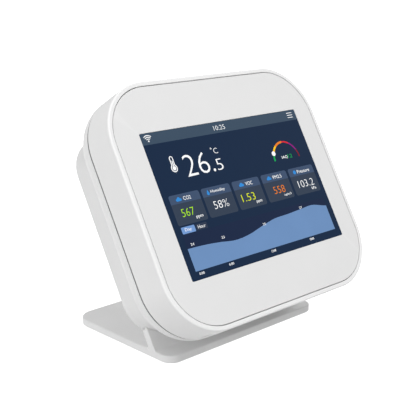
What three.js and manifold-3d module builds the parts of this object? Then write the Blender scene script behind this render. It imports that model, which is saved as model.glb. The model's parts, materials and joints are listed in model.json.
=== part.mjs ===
// Desktop air quality monitor: a tilted touch-screen head that slides down onto the tongue of an
// L-shaped desk stand.
//
// Units are millimetres, +Z is up, +X is the viewer's right and -Y is towards the viewer. The origin
// is on the desk surface, under the middle of the whole object.
//
// The head is modelled in its own frame: X to the right, Y straight back from the face (depth) and
// Z up the face, with zero at the middle of the face, level with the centre of the screen. One group
// tilts it back.

import * as THREE from 'three';
import { mergeVertices } from 'three/addons/utils/BufferGeometryUtils.js';
import Module from 'manifold-3d';

const wasm = await Module();
wasm.setup();

// ---------------------------------------------------------------- driving dimensions

const GAP = 0.3; // clearance between neighbouring pieces

const TILT = THREE.MathUtils.degToRad(30); // the face leans back from upright
const SCREEN_CENTRE_HEIGHT = 53.0; // above the desk

const BODY = { halfWidth: 47.45, halfHeight: 41.8, radius: 19.3 }; // outline of the head
// The visible 3:2 display, 3.5 inch, sits a little to the right of the middle.
const SCREEN = { halfWidth: 36.72, halfHeight: 24.48, radius: 0.45, centreX: 0.74 };
const WALL = 2.0;

const RIM_WIDTH = 1.6; // flat front edge around the fascia
const RIM_EDGE_RADIUS = 0.3;
const FASCIA_THICKNESS = 1.5;
const FASCIA_SEAT_DEPTH = FASCIA_THICKNESS + GAP;
const FRONT_PLATE_BACK = 3.3;
const SEAM_DEPTH = 12.3; // middle of the shadow gap between the two housings
const SEAM_GAP = 0.6;
const SEAM_FRONT = SEAM_DEPTH - SEAM_GAP / 2;
const SEAM_BACK = SEAM_DEPTH + SEAM_GAP / 2;

// The shoulder is a quarter of an ellipse from the seam in to the rear block. Its inner side slopes
// between two depths behind the seam.
const SHOULDER = { depth: 8.4, innerFront: 3.4, innerBack: 8.2 };
const BLOCK_INSET = 6.95;
const HEAD_DEPTH = 33.0;
const REAR_EDGE_RADIUS = 1.2;
const REAR_WALL_FRONT = HEAD_DEPTH - WALL;

const STAND = {
  width: 72,
  thickness: 2.7,
  tongueThickness: 2.8,
  length: 51.9,
  frontFromScreen: -1.4, // front edge of the base, along Y from the screen centre
  frontRadius: 4.5,
  rearRadius: 7,
  filletRadius: 0.8,
  tongueTop: 2.0, // height of the tongue's end up the face
  tongueRadius: 6,
  flangeWidth: 2.6, // thin side edges of the tongue, held under the rear cover's lips
  flangeThickness: 1.2,
  flangeBottom: -32.5, // below this the tongue keeps its full thickness
};
const FOOT = { radius: 4.5, thickness: 1.0, proud: 0.25, insetX: 8.5, insetY: 8.5 };

const POCKET_FLOOR = HEAD_DEPTH - STAND.tongueThickness - GAP;
const POCKET_WALL_FRONT = POCKET_FLOOR - 1.8;
const POCKET_WALL_TOP = STAND.tongueTop + GAP + 1.8;

// Screws: each seats against one piece and its tip stops inside the post of another. The long holes
// under the tips are a little deeper than the screws.
const CASE_SCREW = {
  x: 29.5, z: 30.4, shank: 1.1, hole: 1.4, head: 2.3, counterbore: 2.7, seat: 24, tip: 5.6,
  frontPost: 2.7, rearPost: 3.6, holeDepth: 0.4,
};
const BOARD_SCREW = {
  x: 34.5, z: 20, shank: 0.9, hole: 1.2, head: 2.0, seat: 10.4, tip: 19, post: 2.5, holeDepth: 2,
};
const BRACKET_SCREW = {
  x: 14, z: 31, shank: 0.9, hole: 1.2, head: 1.9, seat: 6.3, tip: 3, post: 2.4, holeDepth: 0.6,
};
const SCREW_HEAD_HEIGHT = 1.6;
const CROSS_RECESS = { halfLength: 1.2, halfWidth: 0.25, depth: 0.8 };
const CASE_POST_BACK = 12.0; // the front housing's screw posts end here, just before the rear cover's

const LIP = { front: 10.2, inset: 3.8, root: 1.5 }; // the rear cover's lip reaches into the front one

// Openings
const BOTTOM_SLIT = { count: 21, endX: 32.6, width: 0.9, front: 3.9, back: 9.6, depth: 4.2 };
const REAR_VENT = { rows: 7, bottom: 9.5, pitch: 3.2, halfLength: 20, halfWidth: 0.8 };
const EDGE_VENT = { count: 11, pitch: 4, width: 1.4, front: 22, back: 28 };
const FILTER = { halfWidth: 24, halfHeight: 12, centreZ: 18.6, thickness: 0.6, radius: 1 };
const SIDE_PORT = { depth: 24.3, z: -8, halfLength: 4.9, halfWidth: 1.9 };
const BUTTON = {
  depth: 24.3, z: 3, radius: 2.0, flange: 2.8, flangeThickness: 0.55, inner: 37.58, proud: 0.8,
};

// Display
const LCD = { left: -41.3, right: 39.7, halfHeight: 27.3, front: 1.8, back: 4.4, radius: 0.8 };
const LENS_FRONT = 0.05;
const FOAM = { halfWidth: 36, halfHeight: 23, border: 4, radius: 1.5 };
const BRACKET = {
  front: 5.5, back: 6.3, halfWidth: 38, halfHeight: 25, border: 5, radius: 1.5, barHalfWidth: 3, tab: 2.6,
};
const RIBBON = { thickness: 0.35, halfWidth: 9, steps: 18 };
const LCD_CONNECTOR = { x: [-31, -26], z: [-10, 10], front: 8.8 };

// Circuit board, with a narrow neck at its lower edge that keeps heat away from the sensor on its end
const BOARD = { halfWidth: 40, halfHeight: 27, front: 10.4, back: 12.0, radius: 2 };
const BOARD_COMPONENT_FRONT = BOARD.back + GAP;
const NECK = { x: [-25, -15], bottom: -38, slits: [[-30.5, -26.5], [-13.5, -9.5]], slitTop: -25.8 };

// Parts on the back of the board, by their sides, their lower and upper ends and how far back they go
const WIFI = { x: [-30, -6], z: [-26, -10.5], back: 15.4 };
const PROCESSOR = { x: [20, 29], z: [-25, -16], back: 13.6 };
const PRESSURE = { x: [7, 10.5], z: [-12.5, -9], back: 13.5 };
const HUMIDITY = { x: [-21.5, -18.5], z: [-36.5, -33.5], back: 13.4 };
const PACKAGE_RADIUS = 0.8;
const CO2 = { x: [10.5, 30.5], z: [-7, 26], back: 24.6 };
const CO2_WINDOW = { x: [13.5, 27.5], z: [2, 22], front: 23.8 };
const VOC = {
  x: 1, z: -17, radius: 4.2, back: 17, flange: 4.8, flangeBack: 13.1, opening: 2.4, floor: 16.2,
};
const BUZZER = { x: 13, z: -18, radius: 4.8, back: 17.3, opening: 0.9, floor: 15.5 };
const PM = { x: [-31, 7], z: [-8, 26], back: 24.3 };
const PM_OUTLET = { x: [-6, 4], z: [-5, 3], front: 20.3 };
const PM_INLET = { x: [-4, 2], z: [14, 22], front: 21.3 };
const FAN_WELL = { x: -19.5, z: 12, radius: 8.5, front: 17.3 };
const FAN_AXLE = { radius: 0.9, back: 23 };
const FAN = { front: 17.9, back: 22.6, hub: 3.2, blades: 7 };
const BLADE = { length: 5.6, thickness: 0.7, width: 3.6, centre: 5.0, pitch: 35 };

// Upright board at the side, with the power socket and the button's switch
const SIDE_BOARD = { x: [30, 36.9], z: [-16, 8], front: SIDE_PORT.depth + 2.2, back: 27.7 };
const BOARD_LINK = { x: [31, 33.5], z: [-15.6, -13.4] };
const USB = {
  length: 7.5, halfWidth: 1.6, halfLength: 4.5, sheet: 0.35, recess: 0.6, floor: 1.3,
  tongue: { x: [1, 6.6], halfThickness: 0.35, halfWidth: 3.35 },
};
const SWITCH = {
  x: [31.7, 35.5], halfDepth: 1.6, halfHeight: 3, plunger: { radius: 1.1, x: [35.3, 36.7] },
};

const CORNER_SEGMENTS = 10; // facets in each quarter of an outline
const ROUND_SEGMENTS = 24; // facets round the fan, the feet and the cans
const POST_SEGMENTS = 16;
const SMALL_CORNER = 3; // facets in each quarter of a small corner
const TONGUE_CORNER = 6;
const PORT_CORNER = 5;
const HOLE_SEGMENTS = 12;

// How far a cutting or joining solid reaches past the face that it starts from.
const PAST = 1;
const OVERLAP = 0.5;

// ---------------------------------------------------------------- materials

const plastic = (color, roughness = 0.45) => new THREE.MeshStandardMaterial({ color, roughness });
const metal = (color, roughness = 0.35) =>
  new THREE.MeshStandardMaterial({ color, roughness, metalness: 1 });

const MATERIALS = {
  shell: plastic(0xe9e9e8),
  fascia: plastic(0xe6e6e6, 0.4),
  stand: plastic(0xe4e4e3),
  rubber: plastic(0x55585a, 0.85),
  glass: new THREE.MeshStandardMaterial({ color: 0x203048, roughness: 0.08 }),
  panel: plastic(0x23262b, 0.3),
  foam: plastic(0x1c1c1e, 0.95),
  bracket: metal(0xb9bcc0, 0.4),
  flex: plastic(0xc27a2a, 0.4),
  circuitBoard: plastic(0x1e6b3c, 0.5),
  shieldCan: metal(0xc4c7ca),
  blackPlastic: plastic(0x1b1c1e, 0.5),
  sensorCase: metal(0x9ea3a8, 0.45),
  goldSensor: metal(0xc9a44c, 0.4),
  mesh: plastic(0x3a3c3f, 0.9),
  screw: metal(0x8d9095, 0.3),
  button: plastic(0xdcdcda, 0.5),
};

// ---------------------------------------------------------------- solids

function toSolid(geometry) {
  const bare = geometry.index ? geometry.toNonIndexed() : geometry.clone();
  bare.deleteAttribute('normal');
  bare.deleteAttribute('uv');
  const merged = mergeVertices(bare, 1e-4);
  return new wasm.Manifold(new wasm.Mesh({
    numProp: 3,
    vertProperties: new Float32Array(merged.attributes.position.array),
    triVerts: new Uint32Array(merged.index.array),
  }));
}

function toGeometry(solid) {
  const mesh = solid.getMesh();
  const geometry = new THREE.BufferGeometry();
  geometry.setAttribute('position', new THREE.BufferAttribute(mesh.vertProperties.slice(), 3));
  geometry.setIndex(new THREE.BufferAttribute(mesh.triVerts.slice(), 1));
  const faceted = geometry.toNonIndexed();
  faceted.computeVertexNormals();
  return faceted;
}

function fuse(first, ...rest) {
  return toGeometry(rest.reduce((sum, geometry) => sum.add(toSolid(geometry)), toSolid(first)));
}

function cut(first, ...tools) {
  return toGeometry(tools.reduce((sum, geometry) => sum.subtract(toSolid(geometry)), toSolid(first)));
}

function keepInside(first, limit) {
  return toGeometry(toSolid(first).intersect(toSolid(limit)));
}

// ---------------------------------------------------------------- shapes in the face plane

function roundedRectangle(halfWidth, halfHeight, radius, centreX = 0, centreZ = 0) {
  const shape = new THREE.Shape();
  const right = centreX + halfWidth - radius;
  const left = centreX - halfWidth + radius;
  const top = centreZ + halfHeight - radius;
  const bottom = centreZ - halfHeight + radius;
  shape.absarc(right, top, radius, 0, Math.PI / 2);
  shape.absarc(left, top, radius, Math.PI / 2, Math.PI);
  shape.absarc(left, bottom, radius, Math.PI, 1.5 * Math.PI);
  shape.absarc(right, bottom, radius, 1.5 * Math.PI, 2 * Math.PI);
  shape.closePath();
  return shape;
}

// A flat shape drawn in X and Z, made solid from one depth to another.
function slab(shape, front, back, curveSegments = CORNER_SEGMENTS) {
  const settings = { depth: back - front, bevelEnabled: false, curveSegments };
  const geometry = new THREE.ExtrudeGeometry(shape, settings);
  geometry.rotateX(Math.PI / 2);
  geometry.translate(0, back, 0);
  return geometry;
}

// A round bar along the depth axis.
function rod(x, z, radius, front, back, segments = ROUND_SEGMENTS) {
  const geometry = new THREE.CylinderGeometry(radius, radius, back - front, segments);
  geometry.translate(x, (front + back) / 2, z);
  return geometry;
}

function block([x0, x1], [y0, y1], [z0, z1]) {
  const geometry = new THREE.BoxGeometry(x1 - x0, y1 - y0, z1 - z0);
  geometry.translate((x0 + x1) / 2, (y0 + y1) / 2, (z0 + z1) / 2);
  return geometry;
}

// The head's outline drawn smaller by an inset, counter-clockwise as seen from the front.
function outlinePoints(inset) {
  const radius = BODY.radius - inset;
  const centreX = BODY.halfWidth - BODY.radius;
  const centreZ = BODY.halfHeight - BODY.radius;
  const signs = [[1, 1], [-1, 1], [-1, -1], [1, -1]];
  const points = [];
  signs.forEach(([signX, signZ], quarter) => {
    for (let i = 0; i <= CORNER_SEGMENTS; i++) {
      const angle = (quarter + i / CORNER_SEGMENTS) * Math.PI / 2;
      const x = signX * centreX + radius * Math.cos(angle);
      const z = signZ * centreZ + radius * Math.sin(angle);
      points.push([x, z]);
    }
  });
  return points;
}

// A closed solid through the outline's sections, each given as { depth, inset }.
function loft(sections) {
  const rings = sections.map(({ inset }) => outlinePoints(inset));
  const count = rings[0].length;
  const positions = [];
  rings.forEach((ring, k) => ring.forEach(([x, z]) => positions.push(x, sections[k].depth, z)));
  const frontCentre = count * rings.length;
  const backCentre = frontCentre + 1;
  positions.push(0, sections[0].depth, 0);
  positions.push(0, sections.at(-1).depth, 0);
  const index = [];
  const lastRing = count * (rings.length - 1);
  for (let i = 0; i < count; i++) {
    const next = (i + 1) % count;
    index.push(frontCentre, i, next);
    index.push(backCentre, lastRing + next, lastRing + i);
    for (let k = 0; k < rings.length - 1; k++) {
      const here = k * count;
      const behind = here + count;
      index.push(here + i, behind + i, behind + next);
      index.push(here + i, behind + next, here + next);
    }
  }
  const geometry = new THREE.BufferGeometry();
  geometry.setAttribute('position', new THREE.Float32BufferAttribute(positions, 3));
  geometry.setIndex(index);
  return geometry;
}

// Sections of a quarter round that turns from a face into the side wall.
function frontRound(radius, steps) {
  return Array.from({ length: steps + 1 }, (_, i) => {
    const angle = (i / steps) * Math.PI / 2;
    return { depth: radius * (1 - Math.cos(angle)), inset: radius * (1 - Math.sin(angle)) };
  });
}

// Sections of a quarter of an ellipse that turns from a side wall into a face behind it.
function backRound(reach, width, startDepth, startInset, steps) {
  return Array.from({ length: steps + 1 }, (_, i) => {
    const angle = (i / steps) * Math.PI / 2;
    return {
      depth: startDepth + reach * Math.sin(angle),
      inset: startInset + width * (1 - Math.cos(angle)),
    };
  });
}

// A slot with round ends, along whichever way is longer.
function slotShape(centreX, centreZ, halfX, halfZ) {
  return roundedRectangle(halfX, halfZ, Math.min(halfX, halfZ) - 0.01, centreX, centreZ);
}

// A shape drawn in Y and Z, made solid along X from zero.
function alongX(shape, length, curveSegments) {
  const geometry = new THREE.ExtrudeGeometry(shape, { depth: length, bevelEnabled: false, curveSegments });
  geometry.applyMatrix4(new THREE.Matrix4().makeBasis(
    new THREE.Vector3(0, 1, 0),
    new THREE.Vector3(0, 0, 1),
    new THREE.Vector3(1, 0, 0),
  ));
  return geometry;
}

const aroundMiddle = (centre, half) => [centre - half, centre + half];
const mirrored = (x, z) => [[x, z], [-x, z], [-x, -z], [x, -z]];

// ---------------------------------------------------------------- fixings

// One bar along the depth axis at each of a fixing's four places.
function rodsAt({ x, z }, radius, front, back, segments) {
  return mirrored(x, z).map(([px, pz]) => rod(px, pz, radius, front, back, segments));
}

// The clearance holes round a fixing's four screws.
function screwHoles(fixing, front, back) {
  return rodsAt(fixing, fixing.hole, front, back, HOLE_SEGMENTS);
}

// A pan-head screw with a cross recess. Its head clears the seat by the gap.
function screw(x, z, size) {
  const sign = Math.sign(size.seat - size.tip);
  const headNear = size.seat + sign * GAP;
  const headFar = headNear + sign * SCREW_HEAD_HEIGHT;
  const span = (a, b) => [Math.min(a, b), Math.max(a, b)];
  const head = rod(x, z, size.head, ...span(headNear, headFar), POST_SEGMENTS);
  const shank = rod(x, z, size.shank, ...span(size.tip, headNear + sign * OVERLAP), HOLE_SEGMENTS);
  const recess = span(headFar - sign * CROSS_RECESS.depth, headFar + sign * PAST);
  const { halfLength, halfWidth } = CROSS_RECESS;
  const level = block(aroundMiddle(x, halfLength), recess, aroundMiddle(z, halfWidth));
  const upright = block(aroundMiddle(x, halfWidth), recess, aroundMiddle(z, halfLength));
  return cut(fuse(head, shank), level, upright);
}

// ---------------------------------------------------------------- housings

// A row of slits through the lower wall of the front housing, which let room air in to the sensors.
function bottomSlits() {
  const { count, endX, width, front, back, depth } = BOTTOM_SLIT;
  const ends = [-BODY.halfHeight - PAST, -BODY.halfHeight + depth];
  return Array.from({ length: count }, (_, i) => {
    const x = endX * (2 * i / (count - 1) - 1);
    return block(aroundMiddle(x, width / 2), [front, back], ends);
  });
}

function lcdWindow(clearance) {
  const halfWidth = (LCD.right - LCD.left) / 2 + clearance;
  const centreX = (LCD.right + LCD.left) / 2;
  return roundedRectangle(halfWidth, LCD.halfHeight + clearance, LCD.radius, centreX, 0);
}

function frontHousing() {
  const outside = loft([...frontRound(RIM_EDGE_RADIUS, 3), { depth: SEAM_FRONT, inset: 0 }]);
  const fasciaSeat = loft([
    { depth: -PAST, inset: RIM_WIDTH },
    { depth: FASCIA_SEAT_DEPTH, inset: RIM_WIDTH },
  ]);
  const inside = loft([
    { depth: FRONT_PLATE_BACK, inset: WALL },
    { depth: SEAM_FRONT + PAST, inset: WALL },
  ]);
  const window = slab(lcdWindow(GAP), FASCIA_SEAT_DEPTH - PAST, FRONT_PLATE_BACK + PAST, SMALL_CORNER);
  const shell = cut(outside, fasciaSeat, inside, window);
  const postFront = FRONT_PLATE_BACK - OVERLAP;
  const posts = [
    ...rodsAt(CASE_SCREW, CASE_SCREW.frontPost, postFront, CASE_POST_BACK, POST_SEGMENTS),
    ...rodsAt(BRACKET_SCREW, BRACKET_SCREW.post, postFront, BRACKET.front - GAP, POST_SEGMENTS),
  ];
  const holes = [
    ...screwHoles(CASE_SCREW, CASE_SCREW.tip - CASE_SCREW.holeDepth, CASE_POST_BACK + PAST),
    ...screwHoles(BRACKET_SCREW, BRACKET_SCREW.tip - BRACKET_SCREW.holeDepth, BRACKET.back),
  ];
  return cut(fuse(shell, ...posts), ...holes, ...bottomSlits());
}

const BLOCK_SIDE = BODY.halfWidth - BLOCK_INSET;
const BLOCK_TOP = BODY.halfHeight - BLOCK_INSET;
const BELOW_HEAD = -BODY.halfWidth; // a level well under the lower edge of the head

// A round bar along X on the side button's axis.
function sideRod(radius, x0, x1, segments) {
  const geometry = new THREE.CylinderGeometry(radius, radius, x1 - x0, segments);
  geometry.rotateZ(Math.PI / 2);
  geometry.translate((x0 + x1) / 2, BUTTON.depth, BUTTON.z);
  return geometry;
}

function rearVents() {
  return Array.from({ length: REAR_VENT.rows }, (_, row) => {
    const z = REAR_VENT.bottom + row * REAR_VENT.pitch;
    const slot = slotShape(0, z, REAR_VENT.halfLength, REAR_VENT.halfWidth);
    return slab(slot, REAR_WALL_FRONT - PAST, HEAD_DEPTH + PAST, SMALL_CORNER);
  });
}

// Slits through the top wall of the rear block.
function edgeVents() {
  const { count, pitch, width, front, back } = EDGE_VENT;
  return Array.from({ length: count }, (_, i) => {
    const x = (i - (count - 1) / 2) * pitch;
    return block(aroundMiddle(x, width / 2), [front, back], [BLOCK_TOP - WALL - PAST, BLOCK_TOP + PAST]);
  });
}

// The tongue's shape from behind, which runs on below the head.
function pocketShape(halfWidth, top, radius) {
  return roundedRectangle(halfWidth, (top - BELOW_HEAD) / 2, radius, 0, (top + BELOW_HEAD) / 2);
}

function rearCover() {
  const outside = loft([
    ...backRound(SHOULDER.depth, BLOCK_INSET, SEAM_BACK, 0, 6),
    ...backRound(REAR_EDGE_RADIUS, REAR_EDGE_RADIUS, HEAD_DEPTH - REAR_EDGE_RADIUS, BLOCK_INSET, 3),
  ]);
  const lipOutside = loft([
    { depth: LIP.front, inset: WALL + GAP },
    { depth: SEAM_BACK + LIP.root, inset: WALL + GAP },
  ]);
  const inside = loft([
    { depth: LIP.front - PAST, inset: LIP.inset },
    { depth: SEAM_BACK + SHOULDER.innerFront, inset: LIP.inset },
    { depth: SEAM_BACK + SHOULDER.innerBack, inset: BLOCK_INSET + WALL },
    { depth: REAR_WALL_FRONT, inset: BLOCK_INSET + WALL },
  ]);
  const pocketWallDepths = [POCKET_WALL_FRONT, REAR_WALL_FRONT + PAST];
  const pocketWall = block([-BLOCK_SIDE, BLOCK_SIDE], pocketWallDepths, [BELOW_HEAD, POCKET_WALL_TOP]);
  const cavity = cut(inside, pocketWall);
  const shell = cut(fuse(outside, lipOutside), cavity);

  const tubes = [CASE_POST_BACK + GAP, REAR_WALL_FRONT + PAST];
  const posts = [BOARD_COMPONENT_FRONT, REAR_WALL_FRONT + OVERLAP];
  const withPosts = keepInside(
    fuse(
      shell,
      ...rodsAt(CASE_SCREW, CASE_SCREW.rearPost, ...tubes, ROUND_SEGMENTS),
      ...rodsAt(BOARD_SCREW, BOARD_SCREW.post, ...posts, POST_SEGMENTS),
    ),
    fuse(outside, lipOutside),
  );

  const centreHalf = STAND.width / 2 - STAND.flangeWidth + GAP;
  const tongueHalf = STAND.width / 2 + GAP;
  const pocketTop = STAND.tongueTop + GAP;
  const flangeBack = POCKET_FLOOR + GAP + STAND.flangeThickness + GAP;
  const pocketRadius = STAND.tongueRadius + GAP;
  const wideShape = pocketShape(tongueHalf, pocketTop, pocketRadius);
  const wideGroove = slab(wideShape, POCKET_FLOOR, flangeBack, TONGUE_CORNER);
  const narrowOpening = slab(
    pocketShape(centreHalf, pocketTop - STAND.flangeWidth + GAP, pocketRadius - STAND.flangeWidth),
    flangeBack - OVERLAP,
    HEAD_DEPTH + PAST,
    TONGUE_CORNER,
  );

  // Below the flanges the tongue is full width, so the pocket's lips are cut away there.
  const lipEnd = STAND.flangeBottom + GAP;
  const pastBack = HEAD_DEPTH + PAST;
  const lipCut = block([-tongueHalf, tongueHalf], [POCKET_FLOOR, pastBack], [BELOW_HEAD, lipEnd]);

  const sideCut = [BLOCK_SIDE - WALL - PAST, BLOCK_SIDE + PAST];
  const portShape = slotShape(0, 0, SIDE_PORT.halfWidth, SIDE_PORT.halfLength);
  const port = alongX(portShape, sideCut[1] - sideCut[0], PORT_CORNER);
  port.translate(sideCut[0], SIDE_PORT.depth, SIDE_PORT.z);
  const buttonHole = sideRod(BUTTON.radius + GAP, ...sideCut, ROUND_SEGMENTS);

  return cut(
    withPosts,
    wideGroove,
    narrowOpening,
    lipCut,
    ...screwHoles(CASE_SCREW, LIP.front, CASE_SCREW.seat + OVERLAP),
    ...rodsAt(CASE_SCREW, CASE_SCREW.counterbore, CASE_SCREW.seat, pastBack, ROUND_SEGMENTS),
    ...screwHoles(BOARD_SCREW, BOARD.front, BOARD_SCREW.tip + BOARD_SCREW.holeDepth),
    ...rearVents(),
    ...edgeVents(),
    port,
    buttonHole,
  );
}

// A sheet of fine mesh behind the back vents.
function dustFilter() {
  const { halfWidth, halfHeight, radius, centreZ, thickness } = FILTER;
  const back = REAR_WALL_FRONT - GAP;
  const shape = roundedRectangle(halfWidth, halfHeight, radius, 0, centreZ);
  return slab(shape, back - thickness, back, SMALL_CORNER);
}

// ---------------------------------------------------------------- face and display

function frontPanel() {
  const plate = loft([
    { depth: 0, inset: RIM_WIDTH + GAP },
    { depth: FASCIA_THICKNESS, inset: RIM_WIDTH + GAP },
  ]);
  return cut(plate, slab(screenShape(GAP / 2), -PAST, FASCIA_THICKNESS + PAST, SMALL_CORNER));
}

// The display's outline, grown by a clearance.
function screenShape(clearance) {
  const { halfWidth, halfHeight, radius, centreX } = SCREEN;
  return roundedRectangle(halfWidth + clearance, halfHeight + clearance, radius, centreX, 0);
}

function screenLens() {
  return slab(screenShape(-GAP / 2), LENS_FRONT, FASCIA_THICKNESS, SMALL_CORNER);
}

function lcdModule() {
  return slab(lcdWindow(0), LCD.front, LCD.back, SMALL_CORNER);
}

// A flat rectangular ring behind the display.
function frame({ halfWidth, halfHeight, border, radius }, front, back) {
  const plate = slab(roundedRectangle(halfWidth, halfHeight, radius), front, back, SMALL_CORNER);
  const opening = roundedRectangle(halfWidth - border, halfHeight - border, radius);
  return cut(plate, slab(opening, front - PAST, back + PAST, SMALL_CORNER));
}

function lcdFoamPad() {
  return frame(FOAM, LCD.back + GAP, BRACKET.front - GAP);
}

// A sheet-metal frame with two bars and four tabs, screwed down behind the display.
function lcdBracket() {
  const sheet = [BRACKET.front, BRACKET.back];
  const tabEnd = BRACKET_SCREW.z + BRACKET.tab;
  const bars = [-BRACKET_SCREW.x, BRACKET_SCREW.x]
    .map((x) => block(aroundMiddle(x, BRACKET.barHalfWidth), sheet, [-tabEnd, tabEnd]));
  const holes = screwHoles(BRACKET_SCREW, BRACKET.front - PAST, BRACKET.back + PAST);
  return cut(fuse(frame(BRACKET, ...sheet), ...bars), ...holes);
}

// The flat cable leaves the display's left edge, turns behind it and ends in the board's connector.
function lcdRibbon() {
  const { thickness, halfWidth, steps } = RIBBON;
  const path = new THREE.CatmullRomCurve3([
    new THREE.Vector3(LCD.left - GAP, 3.6, 0),
    new THREE.Vector3(LCD.left - 1.5, 4.4, 0),
    new THREE.Vector3(LCD.left - 1.6, 6.4, 0),
    new THREE.Vector3(LCD.left + 0.5, 7.5, 0),
    new THREE.Vector3(-33, 7.9, 0),
    new THREE.Vector3(-29, 8.0, 0),
    new THREE.Vector3(-27.6, 8.3, 0),
  ]);
  const edges = { left: [], right: [] };
  for (let i = 0; i <= steps; i++) {
    const point = path.getPoint(i / steps);
    const across = path.getTangent(i / steps).multiplyScalar(thickness / 2);
    edges.left.push(new THREE.Vector2(point.x - across.y, point.y + across.x));
    edges.right.push(new THREE.Vector2(point.x + across.y, point.y - across.x));
  }
  const outline = new THREE.Shape([...edges.right, ...edges.left.reverse()]);
  const geometry = new THREE.ExtrudeGeometry(outline, { depth: 2 * halfWidth, bevelEnabled: false });
  geometry.translate(0, 0, -halfWidth);
  return geometry;
}

// The ribbon's connector, on the front of the board.
function lcdConnector() {
  return block(LCD_CONNECTOR.x, [LCD_CONNECTOR.front, BOARD.front - GAP], LCD_CONNECTOR.z);
}

// ---------------------------------------------------------------- electronics

function mainBoard() {
  const outline = roundedRectangle(BOARD.halfWidth, BOARD.halfHeight, BOARD.radius);
  const plate = slab(outline, BOARD.front, BOARD.back, SMALL_CORNER);
  const neck = block(NECK.x, [BOARD.front, BOARD.back], [NECK.bottom, -BOARD.halfHeight + PAST]);
  const through = [BOARD.front - PAST, BOARD.back + PAST];
  const slits = NECK.slits.map((x) => block(x, through, [-BOARD.halfHeight - PAST, NECK.slitTop]));
  return cut(fuse(plate, neck), ...slits, ...screwHoles(BOARD_SCREW, ...through));
}

// An opening in the back face of a module.
function backOpening({ x, z, front }, back) {
  return block(x, [front, back + PAST], z);
}

function pmSensorCase() {
  const { x, z, radius, front } = FAN_WELL;
  const body = block(PM.x, [BOARD_COMPONENT_FRONT, PM.back], PM.z);
  const fanWell = rod(x, z, radius, front, PM.back + PAST);
  const axle = rod(x, z, FAN_AXLE.radius, front - OVERLAP, FAN_AXLE.back, HOLE_SEGMENTS);
  const openings = [fanWell, backOpening(PM_OUTLET, PM.back), backOpening(PM_INLET, PM.back)];
  return fuse(cut(body, ...openings), axle);
}

// One pitched blade of the fan, turned to its place round the hub.
function fanBlade(i) {
  const blade = new THREE.BoxGeometry(BLADE.length, BLADE.thickness, BLADE.width);
  blade.rotateX(THREE.MathUtils.degToRad(BLADE.pitch) + Math.PI / 2);
  blade.translate(BLADE.centre, 0, 0);
  blade.rotateY(i * 2 * Math.PI / FAN.blades);
  blade.translate(FAN_WELL.x, (FAN.front + FAN.back) / 2, FAN_WELL.z);
  return blade;
}

function fanRotor() {
  const { x, z } = FAN_WELL;
  const blades = Array.from({ length: FAN.blades }, (_, i) => fanBlade(i));
  const hub = rod(x, z, FAN.hub, FAN.front, FAN.back);
  const bore = rod(x, z, FAN_AXLE.radius + GAP, FAN.front - PAST, FAN.back + PAST, HOLE_SEGMENTS);
  return cut(fuse(hub, ...blades), bore);
}

function co2Sensor() {
  const body = block(CO2.x, [BOARD_COMPONENT_FRONT, CO2.back], CO2.z);
  return cut(body, backOpening(CO2_WINDOW, CO2.back));
}

// A flat package on the back of the board, with rounded corners.
function boardPackage({ x: [x0, x1], z: [z0, z1], back }) {
  const halves = [(x1 - x0) / 2, (z1 - z0) / 2];
  const shape = roundedRectangle(...halves, PACKAGE_RADIUS, (x0 + x1) / 2, (z0 + z1) / 2);
  return slab(shape, BOARD_COMPONENT_FRONT, back, SMALL_CORNER);
}

function vocSensor() {
  const { x, z, radius, back, flange, flangeBack, opening, floor } = VOC;
  const can = rod(x, z, radius, BOARD_COMPONENT_FRONT, back);
  const rim = rod(x, z, flange, BOARD_COMPONENT_FRONT, flangeBack);
  return cut(fuse(can, rim), rod(x, z, opening, floor, back + PAST));
}

function buzzer() {
  const { x, z, radius, back, opening, floor } = BUZZER;
  const can = rod(x, z, radius, BOARD_COMPONENT_FRONT, back);
  return cut(can, rod(x, z, opening, floor, back + PAST, HOLE_SEGMENTS));
}

function sideBoard() {
  return block(SIDE_BOARD.x, [SIDE_BOARD.front, SIDE_BOARD.back], SIDE_BOARD.z);
}

// Row of pins that joins the side board to the main board.
function boardLink() {
  return block(BOARD_LINK.x, [BOARD_COMPONENT_FRONT, SIDE_BOARD.front - GAP], BOARD_LINK.z);
}

function usbSocket() {
  const { length, halfWidth, halfLength, sheet, recess, floor, tongue } = USB;
  const shell = alongX(slotShape(0, 0, halfWidth, halfLength), length, PORT_CORNER);
  const mouth = alongX(slotShape(0, 0, halfWidth - sheet, halfLength - sheet), length, PORT_CORNER);
  mouth.translate(floor, 0, 0);
  const tongueSides = [aroundMiddle(0, tongue.halfThickness), aroundMiddle(0, tongue.halfWidth)];
  const contacts = block(tongue.x, ...tongueSides);
  const socket = fuse(cut(shell, mouth), contacts);
  socket.translate(BLOCK_SIDE - recess - length, SIDE_PORT.depth, SIDE_PORT.z);
  return socket;
}

function tactSwitch() {
  const { x, halfDepth, halfHeight, plunger } = SWITCH;
  const body = block(x, aroundMiddle(BUTTON.depth, halfDepth), aroundMiddle(BUTTON.z, halfHeight));
  return fuse(body, sideRod(plunger.radius, ...plunger.x, POST_SEGMENTS));
}

// The cap's face stands proud of the side wall, and its flange keeps it from falling out.
function buttonCap() {
  const { radius, flange, flangeThickness, inner, proud } = BUTTON;
  const stem = sideRod(radius, inner, BLOCK_SIDE + proud, ROUND_SEGMENTS);
  const collar = sideRod(flange, inner, inner + flangeThickness, ROUND_SEGMENTS);
  return fuse(stem, collar);
}

// ---------------------------------------------------------------- stand

const cosTilt = Math.cos(TILT);
const sinTilt = Math.sin(TILT);

// Extent of the object along Y from the screen centre, used to centre the whole on the origin. The
// foremost point is on the rounded rim at the bottom of the face.
const rimCentreHeight = RIM_EDGE_RADIUS - BODY.halfHeight;
const faceFront = RIM_EDGE_RADIUS * cosTilt + rimCentreHeight * sinTilt - RIM_EDGE_RADIUS;
const standBack = STAND.frontFromScreen + STAND.length;
const SCREEN_CENTRE_Y = -(faceFront + standBack) / 2;

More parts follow.
